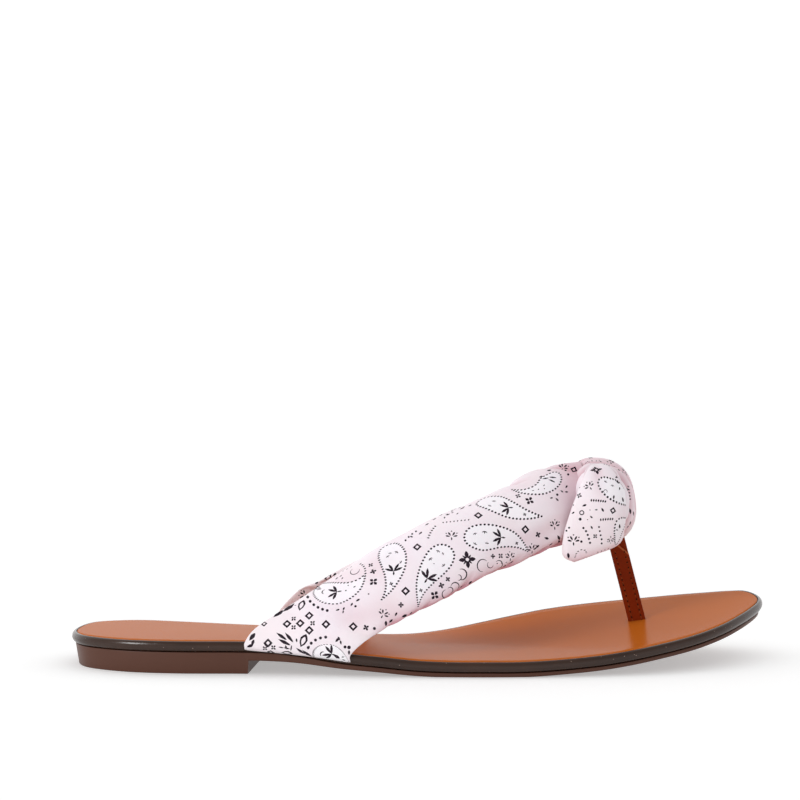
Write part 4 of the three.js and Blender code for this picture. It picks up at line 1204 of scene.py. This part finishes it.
tailChart = (
    ("star", 596.3, 468.9, 14, 4.6), ("spray", 589.8, 486.8, 30, 4.0), ("foot", 605.4, 482.0, 60, 1.0),
    ("foot", 612.6, 484.8, -100, 1.0), ("arc", 605.6, 491.4, 100, 1.3, 300, 0.24),
    ("leaf", 613.8, 497.2, 80, 1.6),
    ("leaf", 619.6, 488.6, 80, 1.3), ("leaf", 623.0, 499.6, -66, 2.0),
    ("dashes", 598.2, 500.8, -4, 4.8, 7, 1.1, 0.2), ("dashes", 606.5, 519.4, 2, 4.2, 6, 1.1, 0.2),
    ("cluster", 579.4, 495.6, 20, 2.0), ("leaf", 584.4, 505.4, 20, 1.7), ("ring", 581.8, 512.7, 0, 1.8),
    ("dot", 580.2, 519.2, 0, 1.1), ("leaf", 596.2, 509.8, 0, 1.1), ("leaf", 602.6, 509.8, -60, 1.7),
    ("leaf", 591.3, 517.0, -40, 1.3), ("diamond", 613.0, 510.6, -12, 2.4), ("leaf", 573.4, 513.0, 30, 1.3),
    ("dot", 573.6, 505.2, 0, 0.5), ("dot", 590.0, 510.0, 0, 0.4), ("dot", 587.6, 519.6, 0, 0.4),
    ("cluster", 595.2, 536.2, 0, 1.8), ("leaf", 591.7, 527.4, -60, 1.4), ("spray", 610.8, 538.6, 180, 3.2),
    ("spray", 573.6, 541.6, 0, 4.6), ("leaf", 620.0, 526.4, -80, 1.8), ("foot", 616.8, 530.6, 60, 0.9),
    ("leaf", 568.4, 555.6, 100, 2.2), ("dot", 581.4, 541.6, 0, 0.9),
    ("dashes", 603.0, 550.6, 8, 4.0, 4, 0.6, 0.0),
    ("leaf", 616.8, 477.0, 40, 1.8), ("leaf", 617.6, 482.0, -30, 1.8), ("leaf", 579.6, 487.6, 20, 0.8),
)
knotLines = (
    (0.95, 0.5, (582.8, 464.4), (584.8, 461.0), (588.0, 459.6), (591.4, 461.4)),
    (1.0, 0.5, (604.4, 463.4), (609.4, 464.8), (611.0, 468.2), (607.6, 470.4)),
    (0.95, 0.45, (599.4, 459.0), (602.4, 460.6), (600.6, 463.4)),
    (1.1, 0.5, (546.4, 473.6), (549.6, 468.4), (553.4, 465.4)),
)
knotChart = (
    ("foot", 594.6, 461.6, 90, 1.4), ("foot", 597.0, 464.6, -60, 1.3), ("cross", 592.6, 465.4, 0, 1.3),
    ("dashes", 596.2, 459.2, 2, 2.8, 3, 0.7, 0.2), ("leaf", 606.4, 467.4, 20, 1.5),
    ("leaf", 604.4, 468.8, 60, 1.1),
    ("cross", 618.4, 472.4, 30, 1.8), ("leaf", 614.6, 474.6, 60, 1.6), ("spray", 616.4, 465.6, 0, 2.6),
    ("foot", 622.4, 467.4, 60, 1.3), ("leaf", 619.6, 469.0, 10, 1.2), ("leaf", 626.2, 473.4, -60, 2.2),
    ("leaf", 624.6, 470.2, 60, 1.5), ("dot", 611.6, 461.6, 0, 0.8), ("dot", 608.0, 460.4, 0, 0.7),
    ("dashes", 631.8, 492.6, 104, 4.6, 5, 1.1, 0.2), ("leaf", 632.6, 502.0, 100, 2.0),
    ("leaf", 632.2, 511.6, 96, 2.4),
    ("leaf", 630.0, 489.0, 110, 1.8), ("leaf", 634.2, 513.6, 94, 1.8), ("leaf", 630.8, 523.6, 62, 1.8),
    ("leaf", 628.0, 528.4, 56, 2.2), ("leaf", 625.6, 532.0, 52, 2.2),
)


def knotForm(along, around):      # loops round the y axis, closed to a point at both ends
    low, high = knotShape["ends"]
    share = 2 * along - 1
    y = (low + high) / 2 + (high - low) / 2 * np.sin(np.pi / 2 * share)
    girth = np.maximum(np.cos(np.pi / 2 * share), knotShape["endOpening"]) ** knotShape["endPower"]
    angle = np.pi * (around + 0.5)
    cos, sin = np.cos(angle), np.sin(angle)
    power = knotShape["power"]
    reach = np.where(cos > 0, knotShape["reach"][0], knotShape["rearReach"])
    x = knotShape["centre"][0] + reach * girth * np.sign(cos) * np.abs(cos) ** power
    rise = knotShape["reach"][1] * girth * np.sign(sin) * np.abs(sin) ** power
    x -= knotShape["slope"] * rise
    z = knotShape["centre"][1] + rise
    return np.stack([x, y, z], 1)


def knotRelief(along, around):
    depth = np.zeros(len(along))
    turn = np.pi * (around + 0.5)
    for place, sway, phase, sharp, soft, deep in knotShape["folds"]:
        off = along - place - sway * np.sin(turn + phase) - sway * 0.4 * np.sin(2 * turn + 2 * phase)
        depth -= deep * np.where(off < 0, np.exp(-(off / sharp) ** 2), np.exp(-np.abs(off) / soft))
    depth += knotShape["ripple"] * np.sin(3 * turn + 9 * along) * np.sin(np.pi * along)
    count, *gather = knotShape["gathers"]
    depth -= (0.5 + 0.5 * np.cos(count * turn + 1.2 * np.sin(2 * turn))) ** 2 * bump(along, *gather)
    return depth * np.clip(np.sin(np.pi * along) * 2.5, 0, 1)


def knotShade(along, around):
    share, depth = knotShape["foldShade"]
    return np.clip(-knotRelief(along, around) / depth, 0, 1) * share


def tailRelief(along, around):
    return creaseDepth(tailShape["creases"], tailShape["size"], along, around)


def tailShade(along, around):
    low, reach = tailShape["lowShade"]
    deep = np.clip(-tailRelief(along, around), 0, 1) * tailShape["foldShade"]
    return np.clip(low * (1 - along / reach), 0, low) + deep


def knotBackChart():              # figures on the knot's top, back and underside
    chart = []
    count = knotShape["backFigures"]
    for k, along in enumerate(knotShape["backRows"]):
        for i in range(count):
            kind, turn, size = hiddenRow[(i + k) % len(hiddenRow)]
            chart.append((kind, along, -0.42 + 0.14 * i + 0.07 * (k % 2), 90 * turn + 40 * i, size))
    return chart


def buildKnot():
    size = knotShape["size"]
    cloth = clothMap(knotForm, size, 1)
    printed = []
    printLines(cloth, knotLines, printed)
    printByView(cloth, knotChart, printed)
    printByRow(cloth, knotForm, knotBackChart(), printed)
    relief = {"height": knotRelief, "sign": 1}
    wrap = clothMesh("knotWrap", knotForm, relief, cloth, printed, knotShade, knotShape["pitch"])
    finishPiece(wrap, "strap_cloth", "upper")

    size = tailShape["size"]
    form = ribbonForm(tailShape["ribbon"])
    cloth = clothMap(form, size, 1)
    printed = []
    printDrops(cloth, tailDrops, printed)
    printLines(cloth, tailLines, printed)
    printByView(cloth, tailChart, printed)
    printByRow(cloth, form, innerChart(*tailShape["innerRows"]), printed)
    relief = {"height": tailRelief, "sign": 1}
    tail = clothMesh("knotTail", form, relief, cloth, printed, tailShade, tailShape["pitch"])
    finishPiece(tail, "strap_cloth", "knot_tail")


buildKnot()
print("knot made")


# Toe post: a folded leather band, its cut end below the knot, and two rows of stitches
post = {
    "foot": (205.6, 10.5, 9.6),   # mm, where its middle line crosses the seam
    "lean": 14.5,                 # degrees back from upright
    "width": 6.2,
    "halfDepth": 1.4,             # from the band's middle to its faces
    "halfGap": 0.03,              # and half the gap between its two layers
    "edgeRound": 0.28,            # radius of the layers' long edges
    "sway": (0.12, 5.5),          # mm that the band waves, and radians of that wave
    "rings": 30,
    "start": 0.4,                 # distances along the band from the foot
    "nearEnd": 36.2,              # where the near layer is cut off
    "farEnd": 49.0,
    "cutSlant": 8.4,              # how much lower the cut's front corner lies
    "cutEdge": 1.1,               # how far the pale cut edge shows
    "farSlant": 0.6,              # how much lower the far layer's stitches end
    "stitchSpan": (2.0, 1.0, 20), # stitches start and stop this far from the ends, points to a row
    "stitchInset": 1.45,          # from the band's sides
    "stitchLength": 1.25,
    "stitchGap": 0.7,
    "threadWidth": 0.4,
    "holeLength": 0.75,
    "holeWidth": 0.5,
}


def onPost(across, depth, up):    # a point by its place across, through and along the band
    lean = math.radians(post["lean"])
    x, y, z = post["foot"]
    return (x + across * math.cos(lean) - up * math.sin(lean), y + depth,
            z + across * math.sin(lean) + up * math.cos(lean))


def postSway(share):
    reach, turn = post["sway"]
    return reach * math.sin(turn * share)


def layerMesh(depthFrom, depthTo, end, slant):       # one layer with softly rounded edges
    half, rise = post["width"] / 2, post["edgeRound"]
    depth = depthTo - depthFrom
    loop = []
    for turn in range(4):
        cx = (half - rise) * (1 if turn in (0, 3) else -1)
        cy = depthFrom + (depth - rise if turn in (0, 1) else rise)
        for k in range(5):
            a = math.radians(90 * turn + 22.5 * k)
            loop.append((cx + rise * math.cos(a), cy + rise * math.sin(a)))
    count = post["rings"]
    shares = np.append(np.linspace(0, 1 - post["cutEdge"] / end, count), 1)
    points, faces = [], []
    for share in shares:
        for across, through in loop:
            top = end - slant * (across / post["width"] + 0.5)
            up = post["start"] + (top - post["start"]) * share
            points.append(onPost(across, through + postSway(share), up))
    size = len(loop)
    for i in range(count):
        for k in range(size):
            a, b = i * size + k, i * size + (k + 1) % size
            faces.append((a, b, b + size, a + size))
    faces.append(tuple(range(size))[::-1])
    faces.append(tuple(range(count * size, (count + 1) * size)))
    paint = [0] * len(faces)
    for i in [*range((count - 1) * size, count * size), len(faces) - 1]:
        paint[i] = 1
    return points, faces, paint


def stitchTree():                 # threads set at an even pace along the edges it is given
    tree = bpy.data.node_groups.new("stitchRow", "GeometryNodeTree")
    tree.interface.new_socket("Geometry", in_out="INPUT", socket_type="NodeSocketGeometry")
    for label in ("Stitch Length", "Stitch Gap", "Thread Width"):
        tree.interface.new_socket(label, in_out="INPUT", socket_type="NodeSocketFloat")
    tree.interface.new_socket("Thread", in_out="INPUT", socket_type="NodeSocketMaterial")
    tree.interface.new_socket("Geometry", in_out="OUTPUT", socket_type="NodeSocketGeometry")
    source, result = tree.nodes.new("NodeGroupInput"), tree.nodes.new("NodeGroupOutput")
    line = addNode(tree, "GeometryNodeMeshToCurve", {"Mesh": source.outputs["Geometry"]})
    pace = addNode(tree, "ShaderNodeMath", {
        0: source.outputs["Stitch Length"], 1: source.outputs["Stitch Gap"]}, set_operation="ADD")
    row = addNode(tree, "GeometryNodeResampleCurve", {
        "Curve": line.outputs["Curve"], "Length": pace.outputs[0]}, set_mode="LENGTH")
    stitch = addNode(tree, "GeometryNodeMeshUVSphere", Segments=10, Rings=7, Radius=0.5)
    size = addNode(tree, "ShaderNodeCombineXYZ", {
        "X": source.outputs["Stitch Length"], "Y": source.outputs["Thread Width"],
        "Z": source.outputs["Thread Width"]})
    shaped = addNode(tree, "GeometryNodeTransform", {
        "Geometry": stitch.outputs["Mesh"], "Scale": size.outputs[0]})
    way = addNode(tree, "GeometryNodeInputTangent")
    turn = addNode(tree, "FunctionNodeAlignRotationToVector", {"Vector": way.outputs[0]}, set_axis="X")
    many = addNode(tree, "GeometryNodeInstanceOnPoints", {
        "Points": row.outputs["Curve"], "Instance": shaped.outputs["Geometry"], "Rotation": turn.outputs[0]})
    real = addNode(tree, "GeometryNodeRealizeInstances", {"Geometry": many.outputs["Instances"]})
    smooth = addNode(tree, "GeometryNodeSetShadeSmooth", {"Geometry": real.outputs["Geometry"]})
    dressed = addNode(tree, "GeometryNodeSetMaterial", {
        "Geometry": smooth.outputs[0], "Material": source.outputs["Thread"]})
    tree.links.new(dressed.outputs["Geometry"], result.inputs["Geometry"])
    return tree


def bakeTree(piece, tree, settings):           # turns the modifier's result into a plain mesh
    modifier = piece.modifiers.new("build", "NODES")
    modifier.node_group = tree
    for item in tree.interface.items_tree:
        if item.in_out == "INPUT" and item.name in settings:
            modifier[item.identifier] = settings[item.name]
    bpy.context.view_layer.update()
    shown = piece.evaluated_get(bpy.context.evaluated_depsgraph_get())
    mesh = bpy.data.meshes.new_from_object(shown)
    if mesh.materials[0] is None:                  # an empty slot that the bake leaves
        mesh.materials.pop(index=0)
    piece.modifiers.clear()
    piece.data = mesh


def buildPost():
    far, gap = post["halfDepth"], post["halfGap"]
    points, faces, paint = layerMesh(-far, -gap, post["nearEnd"], post["cutSlant"])
    more, moreFaces, morePaint = layerMesh(gap, far, post["farEnd"], 0.0)
    faces += [tuple(c + len(points) for c in face) for face in moreFaces]
    band = makePiece("toePost", points + more, faces, [postLeather, postCutEdge], paint=paint + morePaint)
    band.data.set_sharp_from_angle(angle=math.radians(50))
    finishPiece(band, "post_leather", "toe_post")

    # stitches, and between them dark marks of painted shade where the needle holes are
    pace = post["stitchLength"] + post["stitchGap"]
    fromFoot, fromEnd, count = post["stitchSpan"]
    for name, length, width, shift, thread in (
            ("postStitches", post["stitchLength"], post["threadWidth"], 0.0, postThread),
            ("postHoleShades", post["holeLength"], post["holeWidth"], pace / 2, postHoleShade)):
        rows, edges = [], []
        for depth, end, lean in ((-far, post["nearEnd"], post["cutSlant"]), (far, post["farEnd"], 0.0)):
            for across in (-1, 1):
                place = across * (post["width"] / 2 - post["stitchInset"])
                slant = lean * (place / post["width"] + 0.5) if lean else post["farSlant"]
                for k, up in enumerate(np.linspace(fromFoot + shift, end - slant - fromEnd, count)):
                    rows.append(onPost(place, depth + postSway(up / end), up))
                    if k:
                        edges.append((len(rows) - 2, len(rows) - 1))
        mesh = bpy.data.meshes.new(name)
        mesh.from_pydata(toFrame(rows).tolist(), edges, [])
        stitches = bpy.data.objects.new(name, mesh)
        bpy.context.scene.collection.objects.link(stitches)
        bakeTree(stitches, stitchTree(), {
            "Stitch Length": length / 1000, "Stitch Gap": (pace - length) / 1000,
            "Thread Width": width / 1000, "Thread": thread})
        finishPiece(stitches, "post_leather")


buildPost()
print("toe post made")


# Floor, light and camera
studio = {
    "floor": (0.77, 0.77, 0.77, 1.0),
    "floorRoughness": 0.7,
    "floorGlow": 0.39,        # the floor is a sheet lit from below as well
    "floorReach": 12.0,       # m
    "backLow": 1.3,           # light from the bright wall behind, low down and high up
    "backHigh": 1.15,
    "frontLow": 0.82,         # and from the front
    "frontHigh": 0.52,
    "lowToHigh": (0.2, 0.6),  # upward share of the direction at which low turns to high
    "frontToBack": (-0.2, 0.4),
    "lampPlace": (-545, -585, 447),    # mm on the sole's scale, as are the next two
    "lampAim": (60, 0, 20),
    "lampSize": 290,
    "lampPower": 4.2,         # W
}


def buildStudio():
    world = bpy.data.worlds.new("studioAir")
    bpy.context.scene.world = world
    world.use_nodes = True
    tree = world.node_tree
    way = addNode(tree, "ShaderNodeTexCoord").outputs["Generated"]
    parts = addNode(tree, "ShaderNodeSeparateXYZ", {"Vector": way})
    levels = []
    for low, high in (("frontLow", "frontHigh"), ("backLow", "backHigh")):
        start, end = studio["lowToHigh"]
        levels.append(addNode(tree, "ShaderNodeMapRange", {"Value": parts.outputs["Z"]},
                              set_interpolation_type="SMOOTHSTEP", From_Min=start, From_Max=end,
                              To_Min=studio[low], To_Max=studio[high]).outputs[0])
    start, end = studio["frontToBack"]
    behind = addNode(tree, "ShaderNodeMapRange", {"Value": parts.outputs["Y"]},
                     set_interpolation_type="SMOOTHSTEP", From_Min=start, From_Max=end)
    level = addNode(tree, "ShaderNodeMapRange", {"Value": behind.outputs[0], "To Min": levels[0],
                                                 "To Max": levels[1]})
    tree.nodes["Background"].inputs["Color"].default_value = (1, 1, 1, 1)
    tree.links.new(level.outputs[0], tree.nodes["Background"].inputs["Strength"])

    material, _, shader = newMaterial("studioFloor", Roughness=studio["floorRoughness"])
    shader.inputs["Base Color"].default_value = studio["floor"]
    shader.inputs["Specular IOR Level"].default_value = 0.0
    shader.inputs["Emission Color"].default_value = (1, 1, 1, 1)
    shader.inputs["Emission Strength"].default_value = studio["floorGlow"]
    reach = studio["floorReach"]
    mesh = bpy.data.meshes.new("studioFloor")
    mesh.from_pydata([(-reach, -reach, 0), (reach, -reach, 0), (reach, reach, 0), (-reach, reach, 0)],
                     [], [(0, 1, 2, 3)])
    mesh.materials.append(material)
    floor = bpy.data.objects.new("studioFloor", mesh)
    bpy.context.scene.collection.objects.link(floor)

    lamp = bpy.data.lights.new("frontLeft", "AREA")
    lamp.size = studio["lampSize"] / 1000
    lamp.energy = studio["lampPower"]
    item = bpy.data.objects.new("frontLeft", lamp)
    place, aim = toFrame(studio["lampPlace"]), toFrame(studio["lampAim"])
    item.location = place
    item.rotation_euler = Vector(aim - place).to_track_quat("-Z", "Y").to_euler()
    bpy.context.scene.collection.objects.link(item)
    unlit = bpy.data.collections.new("frontLeftUnlit")     # the floor keeps its even light
    unlit.objects.link(floor)
    item.light_linking.receiver_collection = unlit
    unlit.collection_objects[0].light_linking.link_state = "EXCLUDE"


def buildCamera():
    lens = bpy.data.cameras.new("photoCamera")
    lens.sensor_width = view["sensor"]
    lens.lens = view["focal"] * view["sensor"] / view["pictureSize"]
    lens.clip_end = view["clipEnd"]
    camera = bpy.data.objects.new("photoCamera", lens)
    camera.location = toFrame(view["place"])
    camera.rotation_euler = (math.radians(90 - view["pitch"]), 0, 0)
    bpy.context.scene.collection.objects.link(camera)
    bpy.context.scene.camera = camera


buildStudio()
buildCamera()
bpy.context.scene.view_settings.view_transform = "Standard"
print("studio made")
